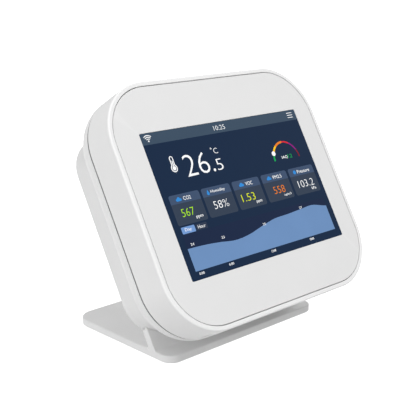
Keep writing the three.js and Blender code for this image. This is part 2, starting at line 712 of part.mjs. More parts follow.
const headMatrix = new THREE.Matrix4().makeRotationX(-TILT)
  .setPosition(0, SCREEN_CENTRE_Y, SCREEN_CENTRE_HEIGHT);

const BASE_BOTTOM = FOOT.proud;
const BASE_TOP = BASE_BOTTOM + STAND.thickness;
const BASE_FRONT_Y = SCREEN_CENTRE_Y + STAND.frontFromScreen;
const BASE_BACK_Y = BASE_FRONT_Y + STAND.length;

// A point of the head's mid-plane, given by depth and height, in the stand's own Y and Z.
function onSection(depth, height) {
  return new THREE.Vector2(
    SCREEN_CENTRE_Y + depth * cosTilt + height * sinTilt,
    SCREEN_CENTRE_HEIGHT - depth * sinTilt + height * cosTilt,
  );
}

// Where the tongue's surface at this depth meets a level plane.
function tongueMeets(depth, level) {
  const height = (level - SCREEN_CENTRE_HEIGHT + depth * sinTilt) / cosTilt;
  return onSection(depth, height);
}

// Side profile of the whole stand, extruded across its width.
function standProfile() {
  const r = STAND.filletRadius;
  const tongueFront = HEAD_DEPTH - STAND.tongueThickness;
  const up = new THREE.Vector2(sinTilt, cosTilt);
  const frontRoot = tongueMeets(tongueFront, BASE_TOP);
  const backRoot = tongueMeets(HEAD_DEPTH, BASE_TOP);
  // The tongue leans away from its front side, so the corner there is wider than a right angle
  // and the one behind it is narrower.
  const frontReach = r * Math.tan((Math.PI / 2 - TILT) / 2);
  const backReach = r * Math.tan((Math.PI / 2 + TILT) / 2);
  const frontTangent = frontRoot.clone().addScaledVector(up, frontReach);
  const backTangent = backRoot.clone().addScaledVector(up, backReach);
  const tipFront = onSection(tongueFront, STAND.tongueTop);
  const tipBack = onSection(HEAD_DEPTH, STAND.tongueTop);
  const shape = new THREE.Shape();
  shape.moveTo(BASE_FRONT_Y, BASE_BOTTOM);
  shape.lineTo(BASE_BACK_Y, BASE_BOTTOM);
  shape.lineTo(BASE_BACK_Y, BASE_TOP);
  shape.lineTo(backRoot.x + backReach, BASE_TOP);
  shape.quadraticCurveTo(backRoot.x, backRoot.y, backTangent.x, backTangent.y);
  shape.lineTo(tipBack.x, tipBack.y);
  shape.lineTo(tipFront.x, tipFront.y);
  shape.lineTo(frontTangent.x, frontTangent.y);
  shape.quadraticCurveTo(frontRoot.x, frontRoot.y, frontRoot.x - frontReach, BASE_TOP);
  shape.lineTo(BASE_FRONT_Y, BASE_TOP);
  shape.closePath();
  return shape;
}

// Footprint of the base with its rounded corners, as a prism taller than the stand.
function standFootprint() {
  const half = STAND.width / 2;
  const front = { radius: STAND.frontRadius, y: BASE_FRONT_Y + STAND.frontRadius };
  const rear = { radius: STAND.rearRadius, y: BASE_BACK_Y - STAND.rearRadius };
  const shape = new THREE.Shape();
  shape.absarc(half - front.radius, front.y, front.radius, 1.5 * Math.PI, 2 * Math.PI);
  shape.absarc(half - rear.radius, rear.y, rear.radius, 0, Math.PI / 2);
  shape.absarc(rear.radius - half, rear.y, rear.radius, Math.PI / 2, Math.PI);
  shape.absarc(front.radius - half, front.y, front.radius, Math.PI, 1.5 * Math.PI);
  shape.closePath();
  const settings = { depth: 2 * SCREEN_CENTRE_HEIGHT, bevelEnabled: false, curveSegments: CORNER_SEGMENTS };
  const prism = new THREE.ExtrudeGeometry(shape, settings);
  prism.translate(0, 0, -PAST);
  return prism;
}

function footPositions() {
  const x = STAND.width / 2 - FOOT.insetX;
  const front = BASE_FRONT_Y + FOOT.insetY;
  const back = BASE_BACK_Y - FOOT.insetY;
  return [[-x, front], [x, front], [-x, back], [x, back]];
}

function deskStand() {
  const width = STAND.width;
  const profile = alongX(standProfile(), width, SMALL_CORNER);
  profile.translate(-width / 2, 0, 0);
  const body = keepInside(profile, standFootprint());

  const tongueFront = HEAD_DEPTH - STAND.tongueThickness;
  const tongueShape = pocketShape(width / 2, STAND.tongueTop, STAND.tongueRadius);
  const tongueLimit = slab(tongueShape, -HEAD_DEPTH, 2 * HEAD_DEPTH, TONGUE_CORNER);
  tongueLimit.applyMatrix4(headMatrix);
  const baseLimit = block([-width, width], [-width, width], [-PAST, BASE_TOP]);
  const rounded = keepInside(body, fuse(tongueLimit, baseLimit));

  const flangeBack = tongueFront + STAND.flangeThickness;
  const centreShape = pocketShape(
    width / 2 - STAND.flangeWidth,
    STAND.tongueTop - STAND.flangeWidth,
    STAND.tongueRadius - STAND.flangeWidth,
  );
  const pastBack = HEAD_DEPTH + PAST;
  const centre = slab(centreShape, flangeBack - PAST, pastBack + PAST, TONGUE_CORNER);
  const bandEnds = [STAND.flangeBottom, STAND.tongueTop + PAST];
  const band = block([-width, width], [flangeBack, pastBack], bandEnds);
  const rebate = cut(band, centre);
  rebate.applyMatrix4(headMatrix);

  const footSeats = footPositions().map(([x, y]) => {
    const seat = new THREE.CylinderGeometry(FOOT.radius + GAP, FOOT.radius + GAP, 2 * PAST, ROUND_SEGMENTS);
    seat.rotateX(Math.PI / 2);
    seat.translate(x, y, FOOT.thickness + GAP - PAST);
    return seat;
  });
  return cut(rounded, rebate, ...footSeats);
}

function footPad([x, y]) {
  const pad = new THREE.CylinderGeometry(FOOT.radius, FOOT.radius, FOOT.thickness, ROUND_SEGMENTS);
  pad.rotateX(Math.PI / 2);
  pad.translate(x, y, FOOT.thickness / 2);
  return pad;
}

// ---------------------------------------------------------------- assembly

const monitor = new THREE.Group();
const head = new THREE.Group();
head.rotation.x = -TILT;
head.position.set(0, SCREEN_CENTRE_Y, SCREEN_CENTRE_HEIGHT);
monitor.add(head);

function add(parent, name, geometry, material) {
  const mesh = new THREE.Mesh(geometry, material);
  mesh.name = name;
  parent.add(mesh);
}

add(monitor, 'desk_stand', deskStand(), MATERIALS.stand);
footPositions().forEach((position, i) => {
  add(monitor, `foot_pad_${i + 1}`, footPad(position), MATERIALS.rubber);
});

add(head, 'front_housing', frontHousing(), MATERIALS.shell);
add(head, 'rear_cover', rearCover(), MATERIALS.shell);
add(head, 'front_panel', frontPanel(), MATERIALS.fascia);
add(head, 'dust_filter', dustFilter(), MATERIALS.mesh);

add(head, 'screen_lens', screenLens(), MATERIALS.glass);
add(head, 'lcd_module', lcdModule(), MATERIALS.panel);
add(head, 'lcd_foam_pad', lcdFoamPad(), MATERIALS.foam);
add(head, 'lcd_bracket', lcdBracket(), MATERIALS.bracket);
add(head, 'lcd_ribbon', lcdRibbon(), MATERIALS.flex);
add(head, 'lcd_connector', lcdConnector(), MATERIALS.blackPlastic);

add(head, 'main_board', mainBoard(), MATERIALS.circuitBoard);
add(head, 'wifi_module', boardPackage(WIFI), MATERIALS.shieldCan);
add(head, 'processor', boardPackage(PROCESSOR), MATERIALS.blackPlastic);
add(head, 'buzzer', buzzer(), MATERIALS.blackPlastic);
add(head, 'side_board', sideBoard(), MATERIALS.circuitBoard);
add(head, 'board_link', boardLink(), MATERIALS.blackPlastic);
add(head, 'usb_socket', usbSocket(), MATERIALS.shieldCan);
add(head, 'tact_switch', tactSwitch(), MATERIALS.blackPlastic);
add(head, 'pair_button', buttonCap(), MATERIALS.button);

add(head, 'pm_sensor_case', pmSensorCase(), MATERIALS.sensorCase);
add(head, 'pm_fan_rotor', fanRotor(), MATERIALS.blackPlastic);
add(head, 'co2_sensor', co2Sensor(), MATERIALS.goldSensor);
add(head, 'voc_sensor', vocSensor(), MATERIALS.shieldCan);
add(head, 'pressure_sensor', boardPackage(PRESSURE), MATERIALS.shieldCan);
add(head, 'humidity_sensor', boardPackage(HUMIDITY), MATERIALS.blackPlastic);

for (const [name, size] of [['case', CASE_SCREW], ['board', BOARD_SCREW], ['bracket', BRACKET_SCREW]]) {
  mirrored(size.x, size.z).forEach(([x, z], i) => {
    add(head, `${name}_screw_${i + 1}`, screw(x, z, size), MATERIALS.screw);
  });
}

export default monitor;
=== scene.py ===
"""Air quality monitor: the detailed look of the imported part, in metres, in the part's own frame."""

import json
from math import acos, asin, copysign, cos, degrees, pi, radians, sin, tan
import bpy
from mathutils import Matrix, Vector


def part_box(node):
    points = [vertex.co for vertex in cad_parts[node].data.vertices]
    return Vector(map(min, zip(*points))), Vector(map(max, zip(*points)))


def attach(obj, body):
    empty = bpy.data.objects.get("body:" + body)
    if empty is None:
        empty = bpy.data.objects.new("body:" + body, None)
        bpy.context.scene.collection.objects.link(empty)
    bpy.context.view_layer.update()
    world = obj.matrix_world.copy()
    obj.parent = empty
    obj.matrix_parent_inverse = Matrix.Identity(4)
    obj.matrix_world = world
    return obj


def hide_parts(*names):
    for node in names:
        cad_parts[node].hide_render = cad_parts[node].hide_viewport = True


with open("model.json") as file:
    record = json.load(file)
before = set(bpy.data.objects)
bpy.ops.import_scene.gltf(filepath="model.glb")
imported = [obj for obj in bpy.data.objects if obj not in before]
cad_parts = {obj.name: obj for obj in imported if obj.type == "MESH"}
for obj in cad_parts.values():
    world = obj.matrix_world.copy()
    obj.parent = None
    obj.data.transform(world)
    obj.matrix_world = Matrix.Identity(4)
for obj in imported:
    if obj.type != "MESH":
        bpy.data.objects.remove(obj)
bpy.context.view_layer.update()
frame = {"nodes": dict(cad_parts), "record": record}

from types import SimpleNamespace as Sizes

import bmesh
import bpy
from mathutils import Matrix, Vector

MM = 0.001
GAP = 0.3  # clearance between neighbouring pieces, in millimetres, as in the CAD

# -------- the head's own axes

JOINTS = {joint["name"]: joint for joint in frame["record"]["behaviour"]["joints"]}
RIGHT = Vector((1, 0, 0))
UP_FACE = Vector(JOINTS["head_lift"]["axis"]).normalized()
BACK = UP_FACE.cross(RIGHT)


def axis_matrix(origin):
    """Maps millimetres along RIGHT, BACK and UP_FACE from an origin to the part's frame."""
    turn = Matrix((RIGHT, BACK, UP_FACE)).transposed().to_4x4()
    return Matrix.Translation(origin) @ turn @ Matrix.Scale(MM, 4)


def extent(points):
    """Lowest and highest corner of points."""
    axes = list(zip(*points))
    return Vector([min(axis) for axis in axes]), Vector([max(axis) for axis in axes])


def extent_along(node, to_local):
    """Lowest and highest corner of a CAD node in the axes that to_local gives."""
    return extent([to_local @ vertex.co for vertex in frame["nodes"][node].data.vertices])


def head_frame():
    """The head's axes, in millimetres; zero is the middle of the face."""
    level = axis_matrix(Vector())
    low, high = extent_along("front_housing", level.inverted())
    return axis_matrix(level @ Vector(((low.x + high.x) / 2, low.y, (low.z + high.z) / 2)))


HEAD = head_frame()
TO_HEAD = HEAD.inverted()
WORLD = Matrix.Scale(MM, 4)


def head_box(node):
    return extent_along(node, TO_HEAD)


# -------- sizes, in millimetres

BODY_LOW, BODY_HIGH = head_box("front_housing")
BODY_HALF_WIDTH = BODY_HIGH.x
BODY_HALF_HEIGHT = BODY_HIGH.z
BODY_RADIUS = 19.3
SEAM_FRONT = BODY_HIGH.y
SEAM_GAP = 0.6
SEAM_EDGE = 0.08  # the crisp edges on both sides of the seam
SEAM_BACK = SEAM_FRONT + SEAM_GAP
HEAD_DEPTH = head_box("rear_cover")[1].y
WALL = 2.0

RIM_WIDTH = 1.6
RIM_EDGE = 0.6  # radius of the rim's outer edge
RIM_LIP_EDGE = 0.14  # radius of its inner edge, beside the fascia
RIM_PROUD = 0.14  # the rim stands this far in front of the fascia
FASCIA_GAP = 0.24  # the groove that shows round the fascia
FASCIA_EDGE = 0.16
FASCIA_THICKNESS = head_box("front_panel")[1].y
FASCIA_SEAT = FASCIA_THICKNESS + GAP
PLATE_BACK = 3.3  # back of the plate that the fascia lies on
LIP_FRONT = head_box("rear_cover")[0].y  # the rear cover's lip reaches into the front housing
LIP_INSET = 3.8
SHOULDER_DEPTH = 8.4  # the rear cover rounds in to the rear block over this depth
SHOULDER_INSIDE = (3.4, 8.2)  # inside, it slopes in between these distances behind the seam
BLOCK_INSET = 6.95  # the rear block is this much smaller than the face on each side
BLOCK_SIDE = BODY_HALF_WIDTH - BLOCK_INSET
REAR_EDGE_RADIUS = 1.2
REAR_WALL_FRONT = HEAD_DEPTH - WALL

BOARD_BACK = head_box("main_board")[1].y

SCREEN_LOW, SCREEN_HIGH = head_box("screen_lens")
SCREEN_X = (SCREEN_LOW.x + SCREEN_HIGH.x) / 2
SCREEN_HALF_WIDTH = (SCREEN_HIGH.x - SCREEN_LOW.x) / 2 + GAP / 2
SCREEN_HALF_HEIGHT = SCREEN_HIGH.z + GAP / 2
SCREEN = HEAD @ Matrix.Translation((SCREEN_X, 0, 0))  # zero is the centre of the screen
SCREEN_GAP = 0.06  # the real fit of the cover glass in its window
WINDOW_RADIUS = 0.5
WINDOW_EDGE = 0.08

CORNER_STEPS = 24
SHARP_ANGLE = radians(40)
PAST = 1.0  # cutters run this far past a surface
MERGE_DISTANCE = 1e-5  # points closer than this are one

# -------- mesh helpers


def rounded_loop(half_width, half_height, radius, steps=CORNER_STEPS, centre=(0.0, 0.0)):
    """Points of a rounded rectangle, counter-clockwise."""
    points = []
    for quarter, (sign_a, sign_b) in enumerate(((1, 1), (-1, 1), (-1, -1), (1, -1))):
        for i in range(steps + 1):
            angle = (quarter + i / steps) * pi / 2
            a = centre[0] + sign_a * (half_width - radius) + radius * cos(angle)
            b = centre[1] + sign_b * (half_height - radius) + radius * sin(angle)
            points.append((a, b))
    return points


def slot_loop(half_a, half_b, grow=0.0, centre=(0.0, 0.0)):
    """A slot with round ends, along whichever way is longer."""
    flat = 0.005  # keeps the round corners from meeting in one point
    radius = min(half_a, half_b) + grow - flat
    return rounded_loop(half_a + grow, half_b + grow, radius, 8, centre)


def body_loop(inset):
    """The head's outline drawn smaller by an inset."""
    return rounded_loop(BODY_HALF_WIDTH - inset, BODY_HALF_HEIGHT - inset, BODY_RADIUS - inset)


def circle_loop(radius, centre=(0.0, 0.0), steps=32):
    angles = [2 * pi * i / steps for i in range(steps)]
    return [(centre[0] + radius * cos(a), centre[1] + radius * sin(a)) for a in angles]


def rings(loop_at, profile):
    """Sections for loft, from the outline for an inset and (position, inset) points."""
    return [(position, loop_at(inset)) for position, inset in profile]


def loft(bm, sections, closed=False, axis="y"):
    """Skins through (position, loop) sections along an axis.

    Closed joins the last section to the first. Otherwise both ends are capped.
    """
    def place(position, a, b):
        return {"x": (position, a, b), "y": (a, position, b), "z": (a, b, position)}[axis]

    loops = [[bm.verts.new(place(position, a, b)) for a, b in loop] for position, loop in sections]
    pairs = list(zip(loops, loops[1:]))
    if closed:
        pairs.append((loops[-1], loops[0]))
    else:
        bm.faces.new(loops[0])
        bm.faces.new(reversed(loops[-1]))
    for near, far in pairs:
        count = len(near)
        for i in range(count):
            j = (i + 1) % count
            bm.faces.new((near[i], far[i], far[j], near[j]))
    return bm


def lathe(bm, profile, centre, segments=48, axis="y"):
    """Turns (position along the axis, radius) points round an axis through centre."""
    along = {"x": 0, "y": 1, "z": 2}[axis]
    across = [centre[i] for i in range(3) if i != along]
    profile = [(centre[along] + position, radius) for position, radius in profile]
    return loft(bm, rings(lambda radius: circle_loop(radius, across, segments), profile), axis=axis)


def prism(bm, loop, front, back, axis="y"):
    """A flat outline made solid between two positions along an axis."""
    return loft(bm, [(front, loop), (back, loop)], axis=axis)


def rounded_end(start, end, radius, steps=4):
    """(position, inset) of a rounded edge where a wall running from start meets a face at end."""
    sign = copysign(1, end - start)
    turns = [pi / 2 * i / steps for i in range(steps + 1)]
    return [(end - sign * radius * (1 - sin(t)), radius * (1 - cos(t))) for t in turns]


def flared_cut(bm, loop_at, start, surface, lead, axis="y"):
    """A cutter from start out through a surface, opening there in a rounded edge.

    loop_at gives the outline for a growth in millimetres.
    """
    sign = copysign(1, surface - start)
    sections = [(start, loop_at(0))]
    for turn in (radians(0), radians(30), radians(60), radians(80)):
        position = surface - sign * lead * (1 - sin(turn))
        sections.append((position, loop_at(lead * (1 - cos(turn)))))
    sections.append((surface + sign * PAST, loop_at(lead)))
    return loft(bm, sections, axis=axis)


def flared_cuts(bm, outline, sizes, centres, start, surface, lead, axis="y"):
    """A flared cut at each centre. outline gives the loop for sizes, a growth and a centre."""
    for centre in centres:
        flared_cut(bm, lambda grow, at=centre: outline(*sizes, grow, at), start, surface, lead, axis)


def round_loop(radius, grow, centre):
    return circle_loop(radius + grow, centre, 40)


def arc(radius, start, end, steps, centre=(0.0, 0.0)):
    """Points of an arc, angles in degrees."""
    angles = [radians(start + (end - start) * i / steps) for i in range(steps + 1)]
    return [(centre[0] + radius * cos(a), centre[1] + radius * sin(a)) for a in angles]


def add_object(name, data):
    piece = bpy.data.objects.new(name, data)
    bpy.context.scene.collection.objects.link(piece)
    return piece


def mesh_object(name, bm, matrix=HEAD):
    """A new object from a bmesh in millimetres, its faces pointing out."""
    bmesh.ops.recalc_face_normals(bm, faces=bm.faces)
    bm.transform(matrix)
    mesh = bpy.data.meshes.new(name)
    bm.to_mesh(mesh)
    bm.free()
    return add_object(name, mesh)


def apply_modifiers(piece):
    """Replaces the mesh by the result of its modifiers."""
    graph = bpy.context.evaluated_depsgraph_get()
    result = bpy.data.meshes.new_from_object(piece.evaluated_get(graph))
    piece.modifiers.clear()
    old = piece.data
    piece.data = result
    bpy.data.meshes.remove(old)


def boolean(piece, operation, bm, matrix=HEAD):
    """Joins or cuts a piece with the shapes in a bmesh."""
    tool = mesh_object("tool", bm, matrix)
    modifier = piece.modifiers.new("boolean", "BOOLEAN")
    modifier.operation = operation
    modifier.solver = "EXACT"
    modifier.object = tool
    apply_modifiers(piece)
    tool_mesh = tool.data
    bpy.data.objects.remove(tool)
    bpy.data.meshes.remove(tool_mesh)


def smooth(piece):
    """Smooth shading that keeps large flat faces flat and sharp edges sharp."""
    piece.data.shade_smooth()
    piece.data.set_sharp_from_angle(angle=SHARP_ANGLE)
    modifier = piece.modifiers.new("normals", "WEIGHTED_NORMAL")
    modifier.keep_sharp = True
    apply_modifiers(piece)


def finish_piece(piece, slot, replaces=(), body="monitor", material=None):
    """Shades a piece, gives it its slot's material, hangs it on the body that it rides on, and hides the
    CAD nodes that it stands for.
    """
    smooth(piece)
    piece.data.materials.clear()
    piece.data.materials.append(material or MATERIAL[slot])
    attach(piece, body)
    if replaces:
        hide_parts(*replaces)


def mirrored(place):
    """The four places of a fixing given by its x and z."""
    x, z = place.x, place.z
    return [(x, z), (-x, z), (-x, -z), (x, -z)]


def rods(bm, place, radius, depths, segments=48):
    """A rod along the head's depth at each of the four places of a fixing."""
    for x, z in mirrored(place):
        lathe(bm, [(depth, radius) for depth in depths], (x, 0, z), segments)


# -------- materials


def srgb(red, green, blue):
    """A linear colour from 0-255 screen values."""
    def linear(value):
        value /= 255
        return value / 12.92 if value <= 0.04045 else ((value + 0.055) / 1.055) ** 2.4
    return (linear(red), linear(green), linear(blue), 1.0)


class Nodes:
    """Builds a node tree. A value is a number, a colour or another node's output."""

    def __init__(self, owner):
        owner.use_nodes = True
        self.tree = owner.node_tree

    def feed(self, node, values):
        for key, value in values.items():
            if isinstance(value, bpy.types.NodeSocket):
                self.tree.links.new(value, node.inputs[key])
            else:
                node.inputs[key].default_value = value

    def add(self, kind, output, values=None, **settings):
        """One output of a new node."""
        node = self.tree.nodes.new(kind)
        for key, value in settings.items():
            setattr(node, key, value)
        self.feed(node, values or {})
        return node.outputs[output]


class Surface(Nodes):
    """A procedural Principled material, with sizes in millimetres."""

    def __init__(self, name):
        self.material = bpy.data.materials.new(name)
        super().__init__(self.material)
        self.place = self.add("ShaderNodeTexCoord", "Object")

    def set(self, **values):
        """Feeds the shader, with _ for a space in the names of its inputs."""
        shader = self.tree.nodes["Principled BSDF"]
        self.feed(shader, {key.replace("_", " "): value for key, value in values.items()})

    def noise(self, size, detail=2.0, roughness=0.5):
        """Soft noise whose features are about this large."""
        values = {"Scale": 1 / (size * MM), "Detail": detail, "Roughness": roughness}
        return self.add("ShaderNodeTexNoise", "Fac", {"Vector": self.place, **values})

    def remap(self, value, low, high, from_low=0.3, from_high=0.7):
        ends = {"From Min": from_low, "From Max": from_high, "To Min": low, "To Max": high}
        return self.add("ShaderNodeMapRange", "Result", {"Value": value, **ends})

    def blend(self, factor, first, second):
        values = {"Factor": factor, "A": first, "B": second}
        return self.add("ShaderNodeMix", "Result", values, data_type="RGBA")

    def math(self, operation, first, second):
        return self.add("ShaderNodeMath", "Value", {0: first, 1: second}, operation=operation)

    def bump(self, height, depth):
        """Bump whose full height is this depth."""
        values = {"Height": height, "Distance": depth * MM, "Strength": 1.0}
        self.set(Normal=self.add("ShaderNodeBump", "Normal", values))


def scaled(colour, factor):
    return (colour[0] * factor, colour[1] * factor, colour[2] * factor, 1.0)


def moulded_plastic(name, colour, rough=(0.42, 0.5), grain=0.22, grain_depth=0.004, tint=0.02):
    """Satin moulded plastic: spark-eroded grain, faint flow mottling and a painted highlight, the colour
    lighter on sharp convex edges.
    """
    nodes = Surface(name)
    mottle = nodes.noise(14.0, 3.0)
    cloud = nodes.remap(mottle, 0.0, 1.0)
    body = nodes.blend(cloud, scaled(colour, 1 - tint), scaled(colour, 1 + tint / 2))
    # painted highlight: the base colour turns 3% lighter where pointiness shows a sharp convex edge
    edge = nodes.remap(nodes.add("ShaderNodeNewGeometry", "Pointiness"), 0.0, 1.0, 0.5, 0.62)
    fine = nodes.noise(grain, 3.0, 0.6)
    patch = nodes.math("ADD", nodes.math("MULTIPLY", fine, 0.7), nodes.math("MULTIPLY", mottle, 0.3))
    nodes.set(Base_Color=nodes.blend(edge, body, scaled(colour, 1.03)))
    nodes.set(Roughness=nodes.remap(patch, *rough))
    nodes.bump(fine, grain_depth)
    return nodes.material


def brushed_metal(name, colour, rough=(0.25, 0.4), grain=(0.08, 4.0, 0.08)):
    """Metal with fine drawn lines; grain is the size of the lines along X, Y and Z."""
    nodes = Surface(name)
    stretch = {"Vector": nodes.place, "Scale": [1 / (size * MM) for size in grain]}
    stretched = nodes.add("ShaderNodeMapping", "Vector", stretch)
    streak = nodes.add("ShaderNodeTexNoise", "Fac", {"Vector": stretched, "Scale": 1.0, "Detail": 3.0})
    tone = nodes.blend(nodes.remap(streak, 0.0, 1.0), scaled(colour, 0.88), scaled(colour, 1.05))
    nodes.set(Base_Color=tone, Roughness=nodes.remap(streak, *rough), Metallic=1.0)
    nodes.bump(streak, 0.002)
    return nodes.material


def circuit_board(name):
    """Green solder mask over copper: lighter track lines, with a scatter of tinned pads."""
    nodes = Surface(name)
    turn = {"Vector": nodes.place, "Rotation": (pi / 3, 0, 0)}
    turned = nodes.add("ShaderNodeMapping", "Vector", turn)
    bricks = {"Vector": turned, "Scale": 1 / (9.0 * MM), "Mortar Size": 0.03}
    track = nodes.add("ShaderNodeTexBrick", "Fac", bricks)
    mask = nodes.blend(nodes.noise(3.0), srgb(18, 84, 48), srgb(24, 98, 56))
    copper = nodes.blend(track, mask, srgb(46, 128, 78))
    cells = {"Vector": nodes.place, "Scale": 1 / (3.2 * MM)}
    pad = nodes.remap(nodes.add("ShaderNodeTexVoronoi", "Distance", cells), 1.0, 0.0, 0.13, 0.16)
    nodes.set(Base_Color=nodes.blend(pad, copper, srgb(196, 196, 190)))
    nodes.set(Roughness=nodes.remap(pad, 0.4, 0.28, 0.0, 1.0))
    nodes.bump(track, 0.02)
    return nodes.material


def woven_filter(name):
    """A fine black nylon weave."""
    nodes = Surface(name)
    values = {"Vector": nodes.place, "Scale": 1 / (2.4 * MM)}
    threads = [nodes.add("ShaderNodeTexWave", "Fac", values, bands_direction=way) for way in ("X", "Z")]
    weave = nodes.math("MULTIPLY", *threads)
    nodes.set(Base_Color=nodes.blend(weave, srgb(30, 31, 33), srgb(86, 88, 92)), Roughness=0.9)
    nodes.bump(weave, 0.1)
    return nodes.material


def lit_colour(name):
    """A colour shown by the display: its own light, from a faintly uneven backlight, behind gloss."""
    glow, body, mottle = 0.45, 0.6, 0.03
    colour = srgb(*SCREEN_COLOURS[name])
    nodes = Surface(f"lit_{name}")
    cloud = nodes.remap(nodes.noise(9.0), 0.0, 1.0)
    dark, bright = scaled(colour, body * (1 - mottle)), scaled(colour, body * (1 + mottle))
    nodes.set(Base_Color=nodes.blend(cloud, dark, bright))
    nodes.set(Roughness=nodes.remap(nodes.noise(2.0), 0.16, 0.2), Specular_IOR_Level=0.12)
    nodes.set(Emission_Color=colour, Emission_Strength=glow)
    return nodes.material


WHITE_SHELL = srgb(235, 235, 235)
PLASTICS = {
    # slot: colour, roughness range, grain, grain depth, tint
    "shell_white": (WHITE_SHELL,),
    "fascia_white": (srgb(226, 226, 226), (0.38, 0.45), 0.16, 0.002, 0.012),
    "stand_white": (WHITE_SHELL, (0.45, 0.55), 0.25, 0.005),
    "button_white": (srgb(226, 226, 224), (0.35, 0.45)),
    "foot_rubber": (srgb(92, 94, 96), (0.75, 0.9), 0.3, 0.02, 0.06),
    "plastic_black": (srgb(26, 27, 29), (0.4, 0.55), 0.2, 0.006, 0.1),
    "lcd_black": (srgb(30, 31, 34), (0.2, 0.3), 0.5, 0.002, 0.08),
    "foam_black": (srgb(24, 24, 25), (0.85, 1.0), 0.4, 0.08, 0.15),
    "flex_amber": (srgb(186, 116, 42), (0.25, 0.35), 1.2, 0.004, 0.08),
}
METALS = {
    # slot: colour, roughness range, grain
    "bracket_steel": (srgb(190, 193, 196),),
    "can_tin": (srgb(205, 207, 209), (0.2, 0.32), (1.0, 1.0, 0.1)),
    "sensor_grey": (srgb(158, 162, 166), (0.35, 0.5)),
    "sensor_gold": (srgb(212, 178, 92), (0.2, 0.35), (0.5, 0.5, 0.5)),
    "screw_steel": (srgb(160, 163, 168), (0.25, 0.4), (0.2, 0.2, 0.2)),
}
MATERIAL = {slot: moulded_plastic(slot, *values) for slot, values in PLASTICS.items()}
MATERIAL.update({slot: brushed_metal(slot, *values) for slot, values in METALS.items()})
MATERIAL["board_green"] = circuit_board("board_green")
MATERIAL["filter_grey"] = woven_filter("filter_grey")
# painted shade: dark grey for the strip set in the seam, which darkens the seam line between the shells
SEAM_SHADE_DARK = moulded_plastic("seam_shade_dark", srgb(66, 67, 69), (0.7, 0.85), 0.3, 0.01, 0.06)

# -------- camera, light and floor

PHOTO_AZIMUTH = radians(43.55)  # the camera looks this far to the right of straight back
PHOTO_ELEVATION = radians(14.67)
PHOTO_DISTANCE = 0.3047
PHOTO_SHIFT = (-0.0029, 0.0066)
SENSOR_WIDTH = 36
FOCAL_LENGTH = 81.77
AIM_FROM_SCREEN = Vector((-0.0122, 0.0099, -0.0048))


def build_camera():
    data = bpy.data.cameras.new("camera")
    data.sensor_width = SENSOR_WIDTH
    data.lens = FOCAL_LENGTH
    data.shift_x, data.shift_y = PHOTO_SHIFT
    data.clip_start = 0.01
    camera = add_object("camera", data)
    looking = Vector((
        sin(PHOTO_AZIMUTH) * cos(PHOTO_ELEVATION),
        cos(PHOTO_AZIMUTH) * cos(PHOTO_ELEVATION),
        -sin(PHOTO_ELEVATION),
    ))
    aim = SCREEN.translation + AIM_FROM_SCREEN
    camera.location = aim - looking * PHOTO_DISTANCE
    camera.rotation_euler = looking.to_track_quat("-Z", "Y").to_euler()
    bpy.context.scene.camera = camera


STUDIO_LIGHTS = (
    # name, position in metres, power in watts
    ("overhead", Vector((-0.1, -0.68, 0.98)), 6.1),
    ("left", Vector((-1.1, -0.15, 0.32)), 3.6),
    ("right", Vector((1.0, 0.55, 0.3)), 2.0),
)
LIGHT_AIM = Vector((0, 0, 0.05))
LIGHT_SIZE = 0.5


def build_lights():
    for name, position, power in STUDIO_LIGHTS:
        data = bpy.data.lights.new(name, "AREA")
        data.shape = "DISK"
        data.size = LIGHT_SIZE
        data.energy = power
        light = add_object(name, data)
        light.location = position
        light.rotation_euler = (LIGHT_AIM - position).to_track_quat("-Z", "Y").to_euler()


FLOOR_HALF_SIZE = 12.0  # metres
GROUND_LIGHT = 0.48
WALL_LIGHT = 0.42
SKY_LIGHT = 0.68
ROOM_LIGHT = (  # strength by the upward part of a direction, from straight down (-1) to straight up (1)
    (-0.22, GROUND_LIGHT),
    (-0.08, WALL_LIGHT),
    (0.25, WALL_LIGHT),
    (0.42, SKY_LIGHT),
)
FLOOR_GLOW = 0.85


def build_floor():
    bm = bmesh.new()
    bmesh.ops.create_grid(bm, x_segments=1, y_segments=1, size=FLOOR_HALF_SIZE)
    floor = mesh_object("floor", bm, Matrix.Identity(4))
    nodes = Surface("floor_paper")
    nodes.set(Base_Color=nodes.blend(nodes.noise(60.0), srgb(248, 248, 248), srgb(250, 250, 250)))
    nodes.set(Roughness=0.9, Specular_IOR_Level=0.1)
    nodes.set(Emission_Color=(1.0, 1.0, 1.0, 1.0), Emission_Strength=FLOOR_GLOW)
    floor.data.materials.append(nodes.material)
    floor.visible_diffuse = False  # the light from below is the world's own


def build_world():
    """Soft room light that changes only with how far up a direction points."""
    world = bpy.data.worlds.new("studio")
    nodes = Nodes(world)
    place = nodes.add("ShaderNodeTexCoord", "Generated")
    up = nodes.add("ShaderNodeSeparateXYZ", "Z", {"Vector": place})
    level = nodes.add("ShaderNodeMapRange", "Result", {"Value": up, "From Min": -1.0})
    light = nodes.add("ShaderNodeValToRGB", "Color", {"Fac": level})
    stops = light.node.color_ramp.elements
    while len(stops) < len(ROOM_LIGHT):
        stops.new(1.0)
    for stop, (up, strength) in zip(stops, ROOM_LIGHT):
        stop.position = (up + 1) / 2
        stop.color = (strength, strength, strength, 1.0)
    nodes.feed(nodes.tree.nodes["Background"], {"Color": light})
    bpy.context.scene.world = world


bpy.context.scene.view_settings.view_transform = "Standard"
bpy.context.scene.view_settings.look = "None"
build_camera()
build_floor()
build_world()
build_lights()

# -------- casing

